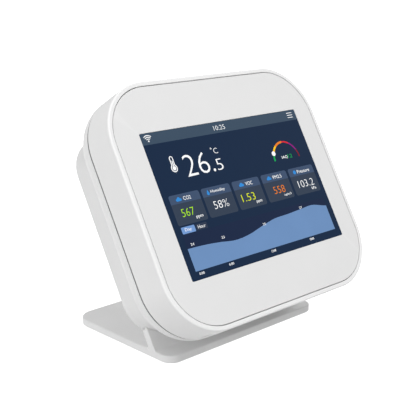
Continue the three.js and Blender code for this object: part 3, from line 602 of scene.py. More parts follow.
# Fixings: place, then the radii and depths of their posts and holes.
CASE_SCREW = Sizes(
    x=29.5, z=30.4, hole=1.4, hole_depths=(5.2, 14), front_post=2.7, rear_post=3.6,
    seat=24.0, counterbore=2.7, counterbore_edge=0.3,
)
BOARD_SCREW = Sizes(x=34.5, z=20.0, hole=1.2, hole_depths=(LIP_FRONT, 21), post=2.5)
BRACKET_SCREW = Sizes(x=14.0, z=31.0, hole=1.2, hole_depths=(2.4, 6), post=2.4, post_back=5.2)
POST_BACK = 12.0  # the front housing's case screw posts end here
PLATE_SUNK = 0.4  # its posts start this far inside the plate
HOLE_SEGMENTS = 24
LCD_RADIUS = 0.8
SLIT = Sizes(count=21, end=32.6, half_width=0.45, front=3.9, back=9.6, inside=2.2, edge=0.12)
SEAM_SHADE_INSETS = (0.22, 1.4)  # how far the dark seam strip's outer and inner faces lie inside the head's outline; the strip is painted shade in the seam
SEAM_SHADE_GAP = 0.02


def rim_profile():
    """The flat rim, from the lip beside the fascia out to the rounded edge of the side wall."""
    lip = [(depth, RIM_WIDTH - inset) for depth, inset in rounded_end(1, -RIM_PROUD, RIM_LIP_EDGE)]
    return lip + list(reversed(rounded_end(1, -RIM_PROUD, RIM_EDGE, 8)))


def bottom_slits(bm):
    """A row of round-ended slits through the bottom wall."""
    front, back = SLIT.front, SLIT.back
    places = [SLIT.end * (2 * i / (SLIT.count - 1) - 1) for i in range(SLIT.count)]
    centres = [(x, (front + back) / 2) for x in places]
    start = -BODY_HALF_HEIGHT + WALL + SLIT.inside
    half_sizes = (SLIT.half_width, (back - front) / 2)
    flared_cuts(bm, slot_loop, half_sizes, centres, start, -BODY_HALF_HEIGHT, SLIT.edge, "z")


def front_housing():
    low, high = head_box("lcd_module")
    half_width, middle = (high.x - low.x) / 2 + GAP, (high.x + low.x) / 2
    window = rounded_loop(half_width, high.z + GAP, LCD_RADIUS, centre=(middle, 0))
    sections = [(PLATE_BACK, window), (FASCIA_SEAT, window), (FASCIA_SEAT, body_loop(RIM_WIDTH))]
    seam_edge = rounded_end(0, SEAM_FRONT, SEAM_EDGE)
    sections += rings(body_loop, rim_profile() + seam_edge + [(SEAM_FRONT, WALL), (PLATE_BACK, WALL)])
    piece = mesh_object("front_shell", loft(bmesh.new(), sections, closed=True))
    posts = bmesh.new()
    start = PLATE_BACK - PLATE_SUNK
    rods(posts, CASE_SCREW, CASE_SCREW.front_post, (start, POST_BACK))
    rods(posts, BRACKET_SCREW, BRACKET_SCREW.post, (start, BRACKET_SCREW.post_back))
    boolean(piece, "UNION", posts)
    cuts = bmesh.new()
    for screw in (CASE_SCREW, BRACKET_SCREW):
        rods(cuts, screw, screw.hole, screw.hole_depths, HOLE_SEGMENTS)
    bottom_slits(cuts)
    boolean(piece, "DIFFERENCE", cuts)
    finish_piece(piece, "shell_white", ["front_housing"])


def front_panel():
    """The fascia: a flat plate with a softly rounded outer edge and a crisper window edge."""
    outer_inset = RIM_WIDTH + FASCIA_GAP

    def window_loop(grow):
        half_width = SCREEN_HALF_WIDTH + SCREEN_GAP + grow
        half_height = SCREEN_HALF_HEIGHT + SCREEN_GAP + grow
        return rounded_loop(half_width, half_height, WINDOW_RADIUS + grow, centre=(SCREEN_X, 0))

    window_edge = rounded_end(1, 0, WINDOW_EDGE)
    outer_edge = [(depth, outer_inset + inset) for depth, inset in rounded_end(1, 0, FASCIA_EDGE)]
    sections = [(FASCIA_THICKNESS, body_loop(outer_inset)), (FASCIA_THICKNESS, window_loop(0))]
    sections += rings(window_loop, window_edge) + rings(body_loop, reversed(outer_edge))
    piece = mesh_object("front_fascia", loft(bmesh.new(), sections, closed=True))
    finish_piece(piece, "fascia_white", ["front_panel"])


# The stand's tongue: a flange, with narrower rebates behind it down to rebate_end.
TONGUE = Sizes(half_width=36.0, top=2.0, radius=6.0, rebate=2.6, flange=1.2, rebate_end=-32.5)
TONGUE_FRONT = HEAD_DEPTH - 2.8
POCKET_WALL = 1.8
POCKET_FLOOR = TONGUE_FRONT - GAP
POCKET_WALL_FRONT = POCKET_FLOOR - POCKET_WALL
POCKET_WALL_TOP = TONGUE.top + GAP + POCKET_WALL
POCKET_BOTTOM = -60  # well below the head, so that the pocket is open there
# How far these reach into the rear wall: different, so that no two ends lie in one plane.
POCKET_WALL_SUNK, CASE_POST_SUNK, BOARD_POST_SUNK = 0.5, 0.6, 0.4

VENT_EDGE = 0.25
REAR_VENT = Sizes(rows=7, bottom=9.5, pitch=3.2, half_length=20.0, half_width=0.8)
EDGE_VENT = Sizes(count=11, pitch=4.0, half_width=0.7, front=22.0, back=28.0)
SIDE_PORT = Sizes(depth=24.3, z=-8.0, half_length=4.9, half_width=1.9, edge=0.35)
BUTTON = Sizes(depth=24.3, z=3.0, radius=2.0, hole_edge=0.2)


def pocket_loop(half_width, top, radius):
    half_height = (top - POCKET_BOTTOM) / 2
    return rounded_loop(half_width, half_height, radius, 12, (0, (top + POCKET_BOTTOM) / 2))


def pocket_cutters():
    """The slot that the stand's tongue slides up into: wide inside, narrower where it opens.

    The wide part, the opening and the end below the rebates overlap, so they are cut in turn.
    """
    top = TONGUE.top + GAP
    half_width = TONGUE.half_width + GAP
    radius = TONGUE.radius + GAP
    lip = TONGUE.rebate - GAP
    lip_end = TONGUE.rebate_end + GAP
    flange_back = TONGUE_FRONT + TONGUE.flange + GAP

    def opening_loop(grow):
        return pocket_loop(half_width - lip + grow, top - lip + grow, radius - lip + grow)

    corners = [(half_width, lip_end), (-half_width, lip_end)]
    corners += [(-half_width, POCKET_BOTTOM), (half_width, POCKET_BOTTOM)]
    return (
        prism(bmesh.new(), pocket_loop(half_width, top, radius), POCKET_FLOOR, flange_back),
        flared_cut(bmesh.new(), opening_loop, flange_back - PAST / 2, HEAD_DEPTH, VENT_EDGE),
        prism(bmesh.new(), corners, POCKET_FLOOR, HEAD_DEPTH + PAST),
    )


def rear_vents(bm):
    """Slots across the back, above the pocket."""
    centres = [(0, REAR_VENT.bottom + row * REAR_VENT.pitch) for row in range(REAR_VENT.rows)]
    half_sizes = (REAR_VENT.half_length, REAR_VENT.half_width)
    flared_cuts(bm, slot_loop, half_sizes, centres, REAR_WALL_FRONT - PAST, HEAD_DEPTH, VENT_EDGE)


def edge_vents(bm):
    """A row of slots along the top of the rear block."""
    front, back, count = EDGE_VENT.front, EDGE_VENT.back, EDGE_VENT.count
    centres = [((i - (count - 1) / 2) * EDGE_VENT.pitch, (front + back) / 2) for i in range(count)]
    half_sizes = (EDGE_VENT.half_width, (back - front) / 2)
    top = BODY_HALF_HEIGHT - BLOCK_INSET
    flared_cuts(bm, slot_loop, half_sizes, centres, top - (WALL + PAST), top, VENT_EDGE, "z")


def side_openings(bm):
    """The power port and the button's hole in the side wall."""
    start = BLOCK_SIDE - 2 * WALL
    half_sizes = (SIDE_PORT.half_width, SIDE_PORT.half_length)
    port = [(SIDE_PORT.depth, SIDE_PORT.z)]
    flared_cuts(bm, slot_loop, half_sizes, port, start, BLOCK_SIDE, SIDE_PORT.edge, "x")
    hole = [(BUTTON.depth, BUTTON.z)]
    radius = BUTTON.radius + GAP
    flared_cuts(bm, round_loop, [radius], hole, start, BLOCK_SIDE, BUTTON.hole_edge, "x")


def screw_counterbores(bm):
    """A deep well with a rounded mouth, from the back to the seat of each case screw."""
    screw = CASE_SCREW
    radius, edge = [screw.counterbore], screw.counterbore_edge
    flared_cuts(bm, round_loop, radius, mirrored(screw), screw.seat, HEAD_DEPTH, edge)


def rear_cover():
    block_inside = BLOCK_INSET + WALL
    slope_start, slope_end = SHOULDER_INSIDE
    profile = [
        (REAR_WALL_FRONT, block_inside),
        (SEAM_BACK + slope_end, block_inside),
        (SEAM_BACK + slope_start, LIP_INSET),
        (LIP_FRONT, LIP_INSET),
        (LIP_FRONT, WALL + GAP),
        (SEAM_BACK, WALL + GAP),
        (SEAM_BACK, SEAM_EDGE),
    ]
    for across, along in arc(1, 9, 90, 18):  # a quarter ellipse, less its first few degrees
        profile.append((SEAM_BACK + SHOULDER_DEPTH * along, BLOCK_INSET * (1 - across)))
    for depth, inset in rounded_end(0, HEAD_DEPTH, REAR_EDGE_RADIUS, 8):
        profile.append((depth, BLOCK_INSET + inset))
    piece = mesh_object("rear_shell", loft(bmesh.new(), rings(body_loop, profile)))

    pocket_wall = [(x, min(z, POCKET_WALL_TOP)) for x, z in body_loop(BLOCK_INSET + 1)]
    wall_back = REAR_WALL_FRONT + POCKET_WALL_SUNK
    boolean(piece, "UNION", prism(bmesh.new(), pocket_wall, POCKET_WALL_FRONT, wall_back))
    posts = bmesh.new()
    case_depths = (POST_BACK + GAP, REAR_WALL_FRONT + CASE_POST_SUNK)
    rods(posts, CASE_SCREW, CASE_SCREW.rear_post, case_depths)
    board_depths = (BOARD_BACK + GAP, REAR_WALL_FRONT + BOARD_POST_SUNK)
    rods(posts, BOARD_SCREW, BOARD_SCREW.post, board_depths)
    boolean(piece, "UNION", posts)

    for cutter in pocket_cutters():
        boolean(piece, "DIFFERENCE", cutter)
    holes = bmesh.new()
    through = (LIP_FRONT, CASE_SCREW.seat + PAST / 2)
    rods(holes, CASE_SCREW, CASE_SCREW.hole, through, HOLE_SEGMENTS)
    rods(holes, BOARD_SCREW, BOARD_SCREW.hole, BOARD_SCREW.hole_depths, HOLE_SEGMENTS)
    boolean(piece, "DIFFERENCE", holes)
    openings = bmesh.new()
    screw_counterbores(openings)
    rear_vents(openings)
    edge_vents(openings)
    side_openings(openings)
    boolean(piece, "DIFFERENCE", openings)
    finish_piece(piece, "shell_white", ["rear_cover"])


def seam_shade_strip():
    """A thin dark strip, set back in the seam between the two shells: painted shade, so that the seam
    reads as a dark line.
    """
    front, back = SEAM_FRONT + SEAM_SHADE_GAP, SEAM_BACK - SEAM_SHADE_GAP
    outer, inner = SEAM_SHADE_INSETS
    corners = ((front, outer), (front, inner), (back, inner), (back, outer))
    piece = mesh_object("seam_shade_strip", loft(bmesh.new(), rings(body_loop, corners), closed=True))
    finish_piece(piece, "foam_black", material=SEAM_SHADE_DARK)


# -------- stand

STAND_LOW, STAND_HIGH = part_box("desk_stand")
FOOTPRINT = Sizes(
    half_width=STAND_HIGH[0] / MM, front=STAND_LOW[1] / MM, back=STAND_HIGH[1] / MM,
    front_radius=4.5, rear_radius=7.0,
)
BASE_BOTTOM = STAND_LOW[2] / MM
BASE_TOP = BASE_BOTTOM + 2.7
BASE_BOTTOM_EDGE = 0.5
BASE_TOP_EDGE = 0.45
TONGUE_ROOT = -40.6  # the tongue's square lower end is buried in the base here
TONGUE_FRONT_EDGE = 0.3
TONGUE_BACK_EDGE = 0.35
FEET = [f"foot_pad_{i}" for i in range(1, 5)]


def footprint_loop(inset):
    """The base's outline, with smaller corners at the front than at the back."""
    half = FOOTPRINT.half_width - inset
    front = FOOTPRINT.front + inset
    back = FOOTPRINT.back - inset
    corners = (
        (1, back, -1, FOOTPRINT.rear_radius, 0),
        (-1, back, -1, FOOTPRINT.rear_radius, 90),
        (-1, front, 1, FOOTPRINT.front_radius, 180),
        (1, front, 1, FOOTPRINT.front_radius, 270),
    )
    points = []
    for side, edge, inward, radius, start in corners:
        radius -= inset
        centre = (side * (half - radius), edge + inward * radius)
        points += arc(radius, start, start + 90, CORNER_STEPS, centre)
    return points


def tongue_loop(half_width, top, radius, inset):
    """The tongue seen along the face: round top corners, and full width below the rebates."""
    half = half_width - inset
    full = TONGUE.half_width - inset
    step = TONGUE.rebate_end - inset
    points = arc(radius - inset, 0, 90, 12, (half_width - radius, top - radius))
    points += arc(radius - inset, 90, 180, 12, (radius - half_width, top - radius))
    points += [(-half, step), (-full, step), (-full, TONGUE_ROOT)]
    return points + [(full, TONGUE_ROOT), (full, step), (half, step)]


def tongue_sections():
    full = (TONGUE.half_width, TONGUE.top, TONGUE.radius)
    narrow = tuple(size - TONGUE.rebate for size in full)
    flange_back = TONGUE_FRONT + TONGUE.flange
    front_edge = list(reversed(rounded_end(HEAD_DEPTH, TONGUE_FRONT, TONGUE_FRONT_EDGE)))
    back_edge = rounded_end(TONGUE_FRONT, HEAD_DEPTH, TONGUE_BACK_EDGE)
    sections = rings(lambda inset: tongue_loop(*full, inset), front_edge + [(flange_back, 0)])
    sections += rings(lambda inset: tongue_loop(*narrow, inset), [(flange_back, 0)] + back_edge)
    return sections


def root_fillets(bm):
    """Small concave fillets where the tongue rises from the base, as bars along X."""
    radius, steps = 0.8, 8
    sunk, inside, end_inset = 0.03, 0.6, 0.35  # how far it lies inside the base and the tongue
    up = Vector((UP_FACE.y, UP_FACE.z))
    for depth, side in ((TONGUE_FRONT, -1), (HEAD_DEPTH, 1)):
        root_y = base_line(depth)
        opening = acos(up.x * side)  # angle between the base's top and the tongue's face
        reach = radius / tan(opening / 2)
        centre = Vector((root_y + side * reach, BASE_TOP + radius))
        start = Vector((root_y + side * reach, BASE_TOP - sunk))
        end = Vector((root_y, BASE_TOP)) + up * reach - Vector((side * sunk, 0))
        inner = Vector((root_y - side * inside, BASE_TOP - inside))
        sweep = pi - opening
        turns = [sweep * i / steps for i in range(1, steps)]
        curve = [centre + radius * Vector((-side * sin(t), -cos(t))) for t in turns]
        half = TONGUE.half_width - end_inset
        prism(bm, [tuple(p) for p in [start, *curve, end, inner]], -half, half, axis="x")


def base_line(depth):
    """Where the tongue's surface at this depth meets the base's top, along Y."""
    origin = HEAD.translation / MM
    height = (BASE_TOP - origin.z - depth * BACK.z) / UP_FACE.z
    return origin.y + depth * BACK.y + height * UP_FACE.y


def foot_seat(name):
    """A foot's centre, radius and top, in millimetres."""
    low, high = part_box(name)
    centre = [(a + b) / 2 / MM for a, b in zip(low, high)]
    return centre[0], centre[1], (high[0] - low[0]) / 2 / MM, high[2] / MM


def desk_stand():
    """The base with the tongue that rises from it, and round seats for the feet underneath."""
    bottom_edge = reversed(rounded_end(BASE_TOP, BASE_BOTTOM, BASE_BOTTOM_EDGE))
    top_edge = rounded_end(BASE_BOTTOM, BASE_TOP, BASE_TOP_EDGE)
    sections = rings(footprint_loop, [*bottom_edge, *top_edge])
    piece = mesh_object("stand_body", loft(bmesh.new(), sections, axis="z"), WORLD)
    tongue = loft(bmesh.new(), tongue_sections())
    bmesh.ops.remove_doubles(tongue, verts=tongue.verts, dist=MERGE_DISTANCE)
    boolean(piece, "UNION", tongue)
    fillets = bmesh.new()
    root_fillets(fillets)
    boolean(piece, "UNION", fillets, WORLD)
    seats = bmesh.new()
    for name in FEET:
        x, y, radius, top = foot_seat(name)
        lathe(seats, [(-PAST, radius + GAP), (top + GAP, radius + GAP)], (x, y, 0), axis="z")
    boolean(piece, "DIFFERENCE", seats, WORLD)
    finish_piece(piece, "stand_white", ["desk_stand"], "stand")


def foot_pads():
    """Rubber discs with a rounded edge, a hollow centre and shallow grip rings underneath."""
    hollow, groove = 0.25, 0.12
    for name in FEET:
        x, y, radius, top = foot_seat(name)
        profile = [(hollow, 0.01), (hollow, 0.9)]
        for inner, outer in ((1.2, 1.9), (2.4, 3.1)):
            profile += [(groove, inner - 0.1), (0.0, inner), (0.0, outer), (groove, outer + 0.1)]
        profile += [(groove, 3.5), (0.0, 3.6), (0.0, radius - 0.3), (0.09, radius - 0.09)]
        profile += [(0.3, radius), (top, radius), (top, 0.01)]
        piece = mesh_object(f"rubber_{name}", lathe(bmesh.new(), profile, (x, y, 0), axis="z"), WORLD)
        finish_piece(piece, "foot_rubber", [name], "stand")


# -------- screws, button and port

SCREW_HEAD_HEIGHT = 1.6
SCREW_PITCH = 0.55
THREAD_ROOT = 0.82  # of the shank's radius
SCREW_KINDS = {
    # place, head radius, shank radius, and 1 when the head faces the back
    "case": (CASE_SCREW, 2.3, 1.1, 1),
    "board": (BOARD_SCREW, 2.0, 0.9, -1),
    "bracket": (BRACKET_SCREW, 1.9, 0.9, 1),
}
RECESS = Sizes(depth=0.9, reach=1.25, half_width=0.26, taper=(0.45, 0.8))


def screw_profile(head_end, seat, tip, head_radius, shank_radius):
    """(depth, radius) from the head's crown to the tip, with thread ridges on the shank."""
    sign = copysign(1, tip - head_end)
    crown = ((0.02, 0.45), (0.12, 0.78), (0.34, 0.95), (0.6, 1))  # depth, and part of the radius
    profile = [(head_end, 0.02)]
    profile += [(head_end + sign * along, head_radius * part) for along, part in crown]
    profile += [(seat, head_radius), (seat, shank_radius)]
    plain, point = 0.6, 1.0  # lengths without a thread under the head and at the tip
    for i in range(int((abs(tip - seat) - plain - point) / SCREW_PITCH)):
        start = seat + sign * (plain + i * SCREW_PITCH)
        profile += [(start, shank_radius * THREAD_ROOT), (start + sign * SCREW_PITCH * 0.5, shank_radius)]
    profile += [(tip - sign * 0.8, shank_radius * 0.8), (tip, shank_radius * 0.3)]
    return profile


def screws():
    """Every screw, with a cross recess in its head."""
    cross = cross_loop(RECESS.reach, RECESS.half_width)
    taper_a, taper_b = RECESS.taper
    narrow = [(a * taper_a, b * taper_b) for a, b in cross]
    for kind, (place, head_radius, shank_radius, facing) in SCREW_KINDS.items():
        for i, (x, z) in enumerate(mirrored(place), start=1):
            node = f"{kind}_screw_{i}"
            low, high = head_box(node)
            head_end, tip = (high.y, low.y) if facing > 0 else (low.y, high.y)
            seat = head_end - facing * SCREW_HEAD_HEIGHT
            profile = screw_profile(head_end, seat, tip, head_radius, shank_radius)
            piece = mesh_object(f"zinc_{node}", lathe(bmesh.new(), profile, (x, 0, z), 32))
            floor = (head_end - facing * RECESS.depth, shifted(narrow, x, z))
            mouth = (head_end + facing * PAST / 2, shifted(cross, x, z))
            boolean(piece, "DIFFERENCE", loft(bmesh.new(), [floor, mouth]))
            finish_piece(piece, "screw_steel", [node])


def cross_loop(reach, half):
    """A plus sign, counter-clockwise."""
    arm = [(reach, -half), (reach, half), (half, half)]
    points = []
    for quarter in range(4):
        for a, b in arm:
            for _ in range(quarter):
                a, b = -b, a
            points.append((a, b))
    return points


def shifted(loop, x, z):
    return [(a + x, b + z) for a, b in loop]


def pair_button():
    """A cap with a shallow finger dish, kept in by a flange inside the wall."""
    low, high = head_box("pair_button")
    face = high.x
    radius = BUTTON.radius
    flange = (high.z - low.z) / 2
    flange_end = low.x + 0.55
    dish = [(face - 0.2, 0.02), (face - 0.18, 0.6), (face - 0.1, 1.1), (face - 0.02, 1.5)]
    edge = [(face, radius - 0.3), (face - 0.05, radius - 0.1), (face - 0.16, radius - 0.02)]
    stem = [(face - 0.3, radius), (flange_end, radius), (flange_end, flange - 0.1)]
    back = [(flange_end - 0.1, flange), (low.x, flange), (low.x, 0.02)]
    centre = (0, BUTTON.depth, BUTTON.z)
    piece = mesh_object("side_button", lathe(bmesh.new(), dish + edge + stem + back, centre, 56, "x"))
    finish_piece(piece, "button_white", ["pair_button"], "button")


def usb_socket():
    """A drawn steel shell with a rolled mouth, a contact tongue and its gold contacts."""
    low, high = head_box("usb_socket")
    centre = ((low.y + high.y) / 2, (low.z + high.z) / 2)
    half_depth = (high.y - low.y) / 2
    half_length = (high.z - low.z) / 2
    root, mouth = low.x, high.x
    sheet = 0.35  # thickness of the shell
    profile = [(root, 0), (mouth - 0.25, 0), (mouth - 0.07, 0.06), (mouth, 0.18)]
    profile += [(mouth - 0.07, 0.3), (mouth - 0.25, sheet), (root + 1.3, sheet)]
    sections = rings(lambda inset: slot_loop(half_depth, half_length, -inset, centre), profile)
    shell = mesh_object("usb_shell", loft(bmesh.new(), sections, axis="x"))
    finish_piece(shell, "can_tin", ["usb_socket"])

    thickness, width, step = 0.47, 3.9, 0.12  # half thickness, half width, and a thinner front part
    profile = [(root + 1.2, 0.0), (root + 2.2, 0.0), (root + 2.2, step)]
    profile += [(mouth - 1.3, step), (mouth - 1.05, 0.3)]
    sections = rings(lambda trim: rounded_loop(thickness - trim, width - trim, 0.1, 3, centre), profile)
    insert = mesh_object("usb_tongue", loft(bmesh.new(), sections, axis="x"))
    finish_piece(insert, "plastic_black")

    contacts = bmesh.new()
    count, pitch = 12, 0.5
    for side in (-1, 1):
        face = centre[0] + side * (thickness - step)
        for i in range(count):
            z = centre[1] + (i - (count - 1) / 2) * pitch
            loop = rounded_loop(0.03, 0.14, 0.02, 2, (face, z))
            prism(contacts, loop, root + 2.6, mouth - 1.5, axis="x")
    pins = mesh_object("usb_contacts", contacts)
    finish_piece(pins, "sensor_gold")


# -------- display

# Depths behind the fascia's face: the lit surface, and the layers that lie on it.
GLASS_DEPTH = 0.10
TILE_DEPTH = 0.085
HEADER_DEPTH = 0.07
MARK_DEPTH = 0.055
TEXT_DEPTH = 0.04
LAYER_BACK = GLASS_DEPTH + 0.01
GLASS_RADIUS = 0.45
GLASS_EDGE = 0.05
LARGE_TEXT = 1.6  # lettering taller than this has a lighter weight
LIGHTER = -0.014

SCREEN_COLOURS = {
    "night": (18, 39, 66),
    "bar": (58, 76, 95),
    "tile": (50, 62, 80),
    "header": (61, 79, 107),
    "dusk": (22, 37, 66),
    "chart": (106, 140, 185),
    "pill": (112, 150, 205),
    "slate": (46, 57, 77),
    "white": (250, 251, 252),
    "icon": (50, 136, 212),
    "lime": (168, 226, 30),
    "yellow": (226, 236, 20),
    "orange": (234, 126, 30),
    "green": (18, 160, 80),
    "amber": (250, 196, 30),
    "red": (222, 40, 56),
    "magenta": (150, 20, 130),
    "maroon": (128, 24, 40),
}


class Display:
    """Collects the flat shapes shown on the screen, one mesh for each colour.

    Shapes are given in millimetres from the centre of the screen, to the right and up.
    """

    def __init__(self):
        self.layers = {}

    def area(self, colour, depth, loop):
        bm = self.layers.setdefault(colour, bmesh.new())
        prism(bm, loop, depth, LAYER_BACK)

    def rectangle(self, colour, depth, left, right, bottom, top, radius=0.05):
        centre = ((left + right) / 2, (bottom + top) / 2)
        loop = rounded_loop((right - left) / 2, (top - bottom) / 2, radius, 4, centre)
        self.area(colour, depth, loop)

    def band(self, colour, depth, centre, inner, outer, start, end):
        """Part of a ring between two angles in degrees."""
        steps = max(4, int(abs(end - start) / 5))
        loop = arc(outer, start, end, steps, centre) + arc(inner, end, start, steps, centre)
        self.area(colour, depth, loop)

    def text(self, words, left, right, bottom, top, colour="white"):
        """Lettering in the built-in font, stretched to fill its box."""
        curve = bpy.data.curves.new("lettering", "FONT")
        curve.body = words
        curve.extrude = 0.5
        curve.resolution_u = 3
        curve.offset = LIGHTER if top - bottom > LARGE_TEXT else 0.0
        holder = add_object("lettering", curve)
        graph = bpy.context.evaluated_depsgraph_get()
        mesh = bpy.data.meshes.new_from_object(holder.evaluated_get(graph))
        points = [vertex.co for vertex in mesh.vertices]
        low, high = extent(points)
        scale_x = (right - left) / (high.x - low.x)
        scale_z = (top - bottom) / (high.y - low.y)
        for point in points:
            x = left + (point.x - low.x) * scale_x
            z = bottom + (point.y - low.y) * scale_z
            y = TEXT_DEPTH if point.z > 0 else LAYER_BACK
            point.x, point.y, point.z = x, y, z
        bm = self.layers.setdefault(colour, bmesh.new())
        bm.from_mesh(mesh)
        bpy.data.objects.remove(holder)
        bpy.data.curves.remove(curve)
        bpy.data.meshes.remove(mesh)

    def build(self):
        for colour, bm in self.layers.items():
            bmesh.ops.remove_doubles(bm, verts=bm.verts, dist=MERGE_DISTANCE)
            piece = mesh_object(f"screen_{colour}", bm, SCREEN)
            finish_piece(piece, "screen_glass", material=lit_colour(colour))


def screen_base():
    """The lit panel behind the window, with a rounded edge."""
    def loop_at(inset):
        half_width, half_height = SCREEN_HALF_WIDTH - inset, SCREEN_HALF_HEIGHT - inset
        return rounded_loop(half_width, half_height, GLASS_RADIUS - inset, 6)

    profile = [*reversed(rounded_end(1, GLASS_DEPTH, GLASS_EDGE)), (FASCIA_THICKNESS, 0)]
    piece = mesh_object("screen_glass", loft(bmesh.new(), rings(loop_at, profile)), SCREEN)
    finish_piece(piece, "screen_glass", ["screen_lens"], material=lit_colour("night"))


def cloud_loop(x, z, size):
    """A cloud with a flat base, drawn as three arcs."""
    puffs = (
        # along, up, radius, start and end in degrees
        (0.62, 0.38, 0.38, -90, 62),
        (0.0, 0.62, 0.55, 8, 168),
        (-0.62, 0.36, 0.36, 110, 270),
    )
    points = []
    for along, up, radius, start, end in puffs:
        centre = (x + along * size, z + (up - 0.6) * size)
        points += arc(radius * size, start, end, 6, centre)
    return points


def drop_loop(x, z, size):
    """A drop: a round bottom under a point."""
    return arc(0.55 * size, 158, 382, 12, (x, z - 0.3 * size)) + [(x, z + 1.0 * size)]


def wifi_mark(display, x, z):
    """A dot under three arcs."""
    half_line = 0.13
    display.area("white", TEXT_DEPTH, circle_loop(0.28, (x, z + 0.2), 16))
    for radius in (0.95, 1.55, 2.15):
        display.band("white", TEXT_DEPTH, (x, z), radius - half_line, radius + half_line, 46, 134)


def menu_mark(display, left, right, bottom, top):
    """Three level bars."""
    half_line = 0.11
    for z in (bottom, (bottom + top) / 2, top):
        display.rectangle("white", TEXT_DEPTH, left, right, z - half_line, z + half_line)


def thermometer_loop(x, bulb_z, tip_z, stem, bulb):
    """A round-topped stem on a round bulb, with the radius of each."""
    lean = degrees(asin(stem / bulb))
    top = arc(stem, 0, 180, 10, (x, tip_z - stem))
    return top + arc(bulb, 90 + lean, 450 - lean, 24, (x, bulb_z))


def thermometer(display, x, bulb_z, tip_z):
    """A white outline, a dark inside and a white column, each smaller than the last."""
    display.area("white", HEADER_DEPTH, thermometer_loop(x, bulb_z, tip_z, 0.78, 1.32))
    display.area("night", MARK_DEPTH, thermometer_loop(x, bulb_z, tip_z - 0.32, 0.42, 0.98))
    display.area("white", TEXT_DEPTH, thermometer_loop(x, bulb_z, tip_z - 1.6, 0.2, 0.72))


GAUGE_SCALE = (
    # colour, start and end in degrees, half thickness
    ("green", 180, 155, 0.46),
    ("amber", 155, 125, 0.46),
    ("orange", 125, 90, 0.46),
    ("red", 90, 60, 0.32),
    ("magenta", 60, 25, 0.32),
    ("maroon", 25, 0, 0.32),
)
GAUGE_READING = 154.6  # where the knob sits, in degrees


def gauge(display, centre, radius):
    """A half ring in the colours of the air-quality scale, with a white knob and the reading."""
    for colour, start, end, half in GAUGE_SCALE:
        display.band(colour, MARK_DEPTH, centre, radius - half, radius + half * 0.6, start, end)
    knob = arc(radius, GAUGE_READING, GAUGE_READING, 1, centre)[0]
    display.area("white", TEXT_DEPTH, circle_loop(0.88, knob, 24))
    display.text("IAQ", centre[0] - 2.55, centre[0] + 0.35, 7.1, 8.3)
    display.text("12", centre[0] + 0.6, centre[0] + 2.85, 7.1, 8.5, "green")


TILES = (
    # left, right, label and its ends, value and its ends, value colour, unit and its ends
    (-34.35, -21.45, "CO2", -28.6, -25.45, "567", -31.35, -26.05, "lime", "ppm", -26.1, -23.1),
    (-20.45, -7.6, "Humidity", -16.6, -10.2, "58%", -17.3, -10.7, "white", None, 0, 0),
    (-6.45, 6.4, "VOC", -0.3, 2.9, "1.53", -4.3, 1.95, "yellow", "ppm", 1.7, 4.4),
    (7.65, 20.55, "PM2.5", 13.3, 17.65, "558", 11.45, 17.05, "orange", "ug/m3", 15.7, 19.3),
    (21.7, 34.8, "Pressure", 26.05, 32.55, "103.2", 24.3, 32.45, "white", "kPa", 30.4, 32.7),
)
TILE_BOTTOM, TILE_SPLIT, TILE_TOP = -6.85, 0.15, 3.15
TILE_RADIUS = 0.8
LABEL_ROW = (0.9, 2.15)
VALUE_ROW = (-4.35, -1.75)
UNIT_ROW = (-5.9, -4.9)


def tiles(display):
    """Five readings, each under a header with an icon and a label."""
    icons = (
        cloud_loop(-30.6, 1.6, 1.2),
        drop_loop(-17.8, 1.5, 1.0),
        cloud_loop(-2.35, 1.6, 1.15),
        cloud_loop(11.3, 1.6, 1.15),
        circle_loop(0.72, (24.7, 1.55), 20),
    )
    for tile, icon in zip(TILES, icons):
        left, right, label, label_left, label_right = tile[:5]
        value, value_left, value_right, colour, unit, unit_left, unit_right = tile[5:]
        display.rectangle("tile", TILE_DEPTH, left, right, TILE_BOTTOM, TILE_TOP, TILE_RADIUS)
        corner_z = TILE_TOP - TILE_RADIUS
        header = arc(TILE_RADIUS, 0, 90, 6, (right - TILE_RADIUS, corner_z))
        header += arc(TILE_RADIUS, 90, 180, 6, (left + TILE_RADIUS, corner_z))
        header += [(left, TILE_SPLIT), (right, TILE_SPLIT)]
        display.area("header", HEADER_DEPTH, header)
        display.area("icon", TEXT_DEPTH, icon)
        display.text(label, label_left, label_right, *LABEL_ROW)
        display.text(value, value_left, value_right, *VALUE_ROW, colour)
        if unit:
            display.text(unit, unit_left, unit_right, *UNIT_ROW)


CHART_LEFT, CHART_RIGHT, CHART_BASE, CHART_TOP = -34.1, 34.1, -21.75, -9.75
CHART_KNOTS = (-14.35, -14.5, -15.0, -15.75, -15.2, -13.7, -12.4, -12.1, -11.65, -11.3, -12.75)
CHART_TABS = (
    # colour and its box, word and its box: left, right, bottom, top
    ("pill", (-33.8, -28.2, -9.6, -7.4), "Day", (-32.45, -29.7, -9.15, -7.9)),
    ("slate", (-27.7, -22.95, -9.5, -7.5), "Hour", (-26.95, -23.7, -9.0, -7.95)),
)
CHART_HOURS = ((-31.95, "0:00"), (-18.95, "6:00"), (1.05, "12:00"), (20.8, "18:00"))
CHART_DEGREES = (
    (-31.6, -13.25, "24"), (-18.45, -13.75, "23"), (1.3, -13.25, "25"), (21.05, -11.1, "27"),
)


def chart_line(steps):
    """A smooth line through evenly spaced levels."""
    points = []
    last = len(CHART_KNOTS) - 1
    for i in range(steps + 1):
        place = last * i / steps
        k = min(int(place), last - 1)
        t = place - k
        before, start = CHART_KNOTS[max(k - 1, 0)], CHART_KNOTS[k]
        end, after = CHART_KNOTS[k + 1], CHART_KNOTS[min(k + 2, last)]
        bend = 2 * before - 5 * start + 4 * end - after
        level = start + t * (end - before) / 2 + t * t * bend / 2
        level += t ** 3 * (3 * start - before - 3 * end + after) / 2
        points.append((CHART_LEFT + (CHART_RIGHT - CHART_LEFT) * i / steps, level))
    return points


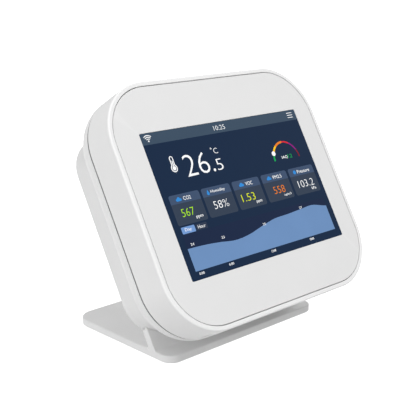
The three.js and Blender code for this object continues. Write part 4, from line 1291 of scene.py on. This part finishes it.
def chart(display):
    """The day's temperatures as a filled line, with two tabs above it and the hours below."""
    display.rectangle("dusk", TILE_DEPTH, CHART_LEFT, CHART_RIGHT, CHART_BASE, CHART_TOP)
    line = chart_line(60)
    corners = [(CHART_LEFT, CHART_BASE), (CHART_RIGHT, CHART_BASE)]
    display.area("chart", HEADER_DEPTH, corners + line[::-1])
    for colour, box, word, word_box in CHART_TABS:
        display.rectangle(colour, MARK_DEPTH, *box, 0.25)
        display.text(word, *word_box)
    for x, hour in CHART_HOURS:
        display.text(hour, x - 1.05, x + 1.05, -23.1, -22.3)
    for x, z, reading in CHART_DEGREES:
        display.text(reading, x - 0.7, x + 0.7, z - 0.4, z + 0.4)


def build_display():
    screen_base()
    display = Display()
    margin = 0.06
    half_width = SCREEN_HALF_WIDTH - margin
    bar_bottom, bar_top = 20.6, SCREEN_HALF_HEIGHT - margin
    display.rectangle("bar", TILE_DEPTH, -half_width, half_width, bar_bottom, bar_top, 0.3)
    wifi_mark(display, -33.9, 21.55)
    display.text("10:25", -5.2, 0.05, 21.6, 23.25)
    menu_mark(display, 32.05, 34.8, 21.75, 23.45)
    thermometer(display, -27.7, 11.6, 15.75)
    display.text("26", -23.35, -12.85, 7.9, 15.25)
    display.area("white", TEXT_DEPTH, circle_loop(0.5, (-11.3, 8.4), 16))
    display.text("5", -9.8, -7.05, 8.0, 11.9)
    display.band("white", TEXT_DEPTH, (-9.75, 15.75), 0.14, 0.3, 0, 359.9)
    display.text("C", -8.95, -7.1, 13.8, 15.7)
    gauge(display, (23.95, 6.95), 6.5)
    tiles(display)
    chart(display)
    display.build()


# -------- pieces that keep their CAD shape


def finish_cad_nodes():
    """Procedural materials, by their slot in the record, for the pieces whose CAD shape is right."""
    for row in frame["record"]["subparts"]:
        if row["material_slot"] in MATERIAL:
            mesh = frame["nodes"][row["node"]].data
            mesh.materials.clear()
            mesh.materials.append(MATERIAL[row["material_slot"]])


front_housing()
front_panel()
rear_cover()
seam_shade_strip()
desk_stand()
foot_pads()
screws()
pair_button()
usb_socket()
build_display()
finish_cad_nodes()
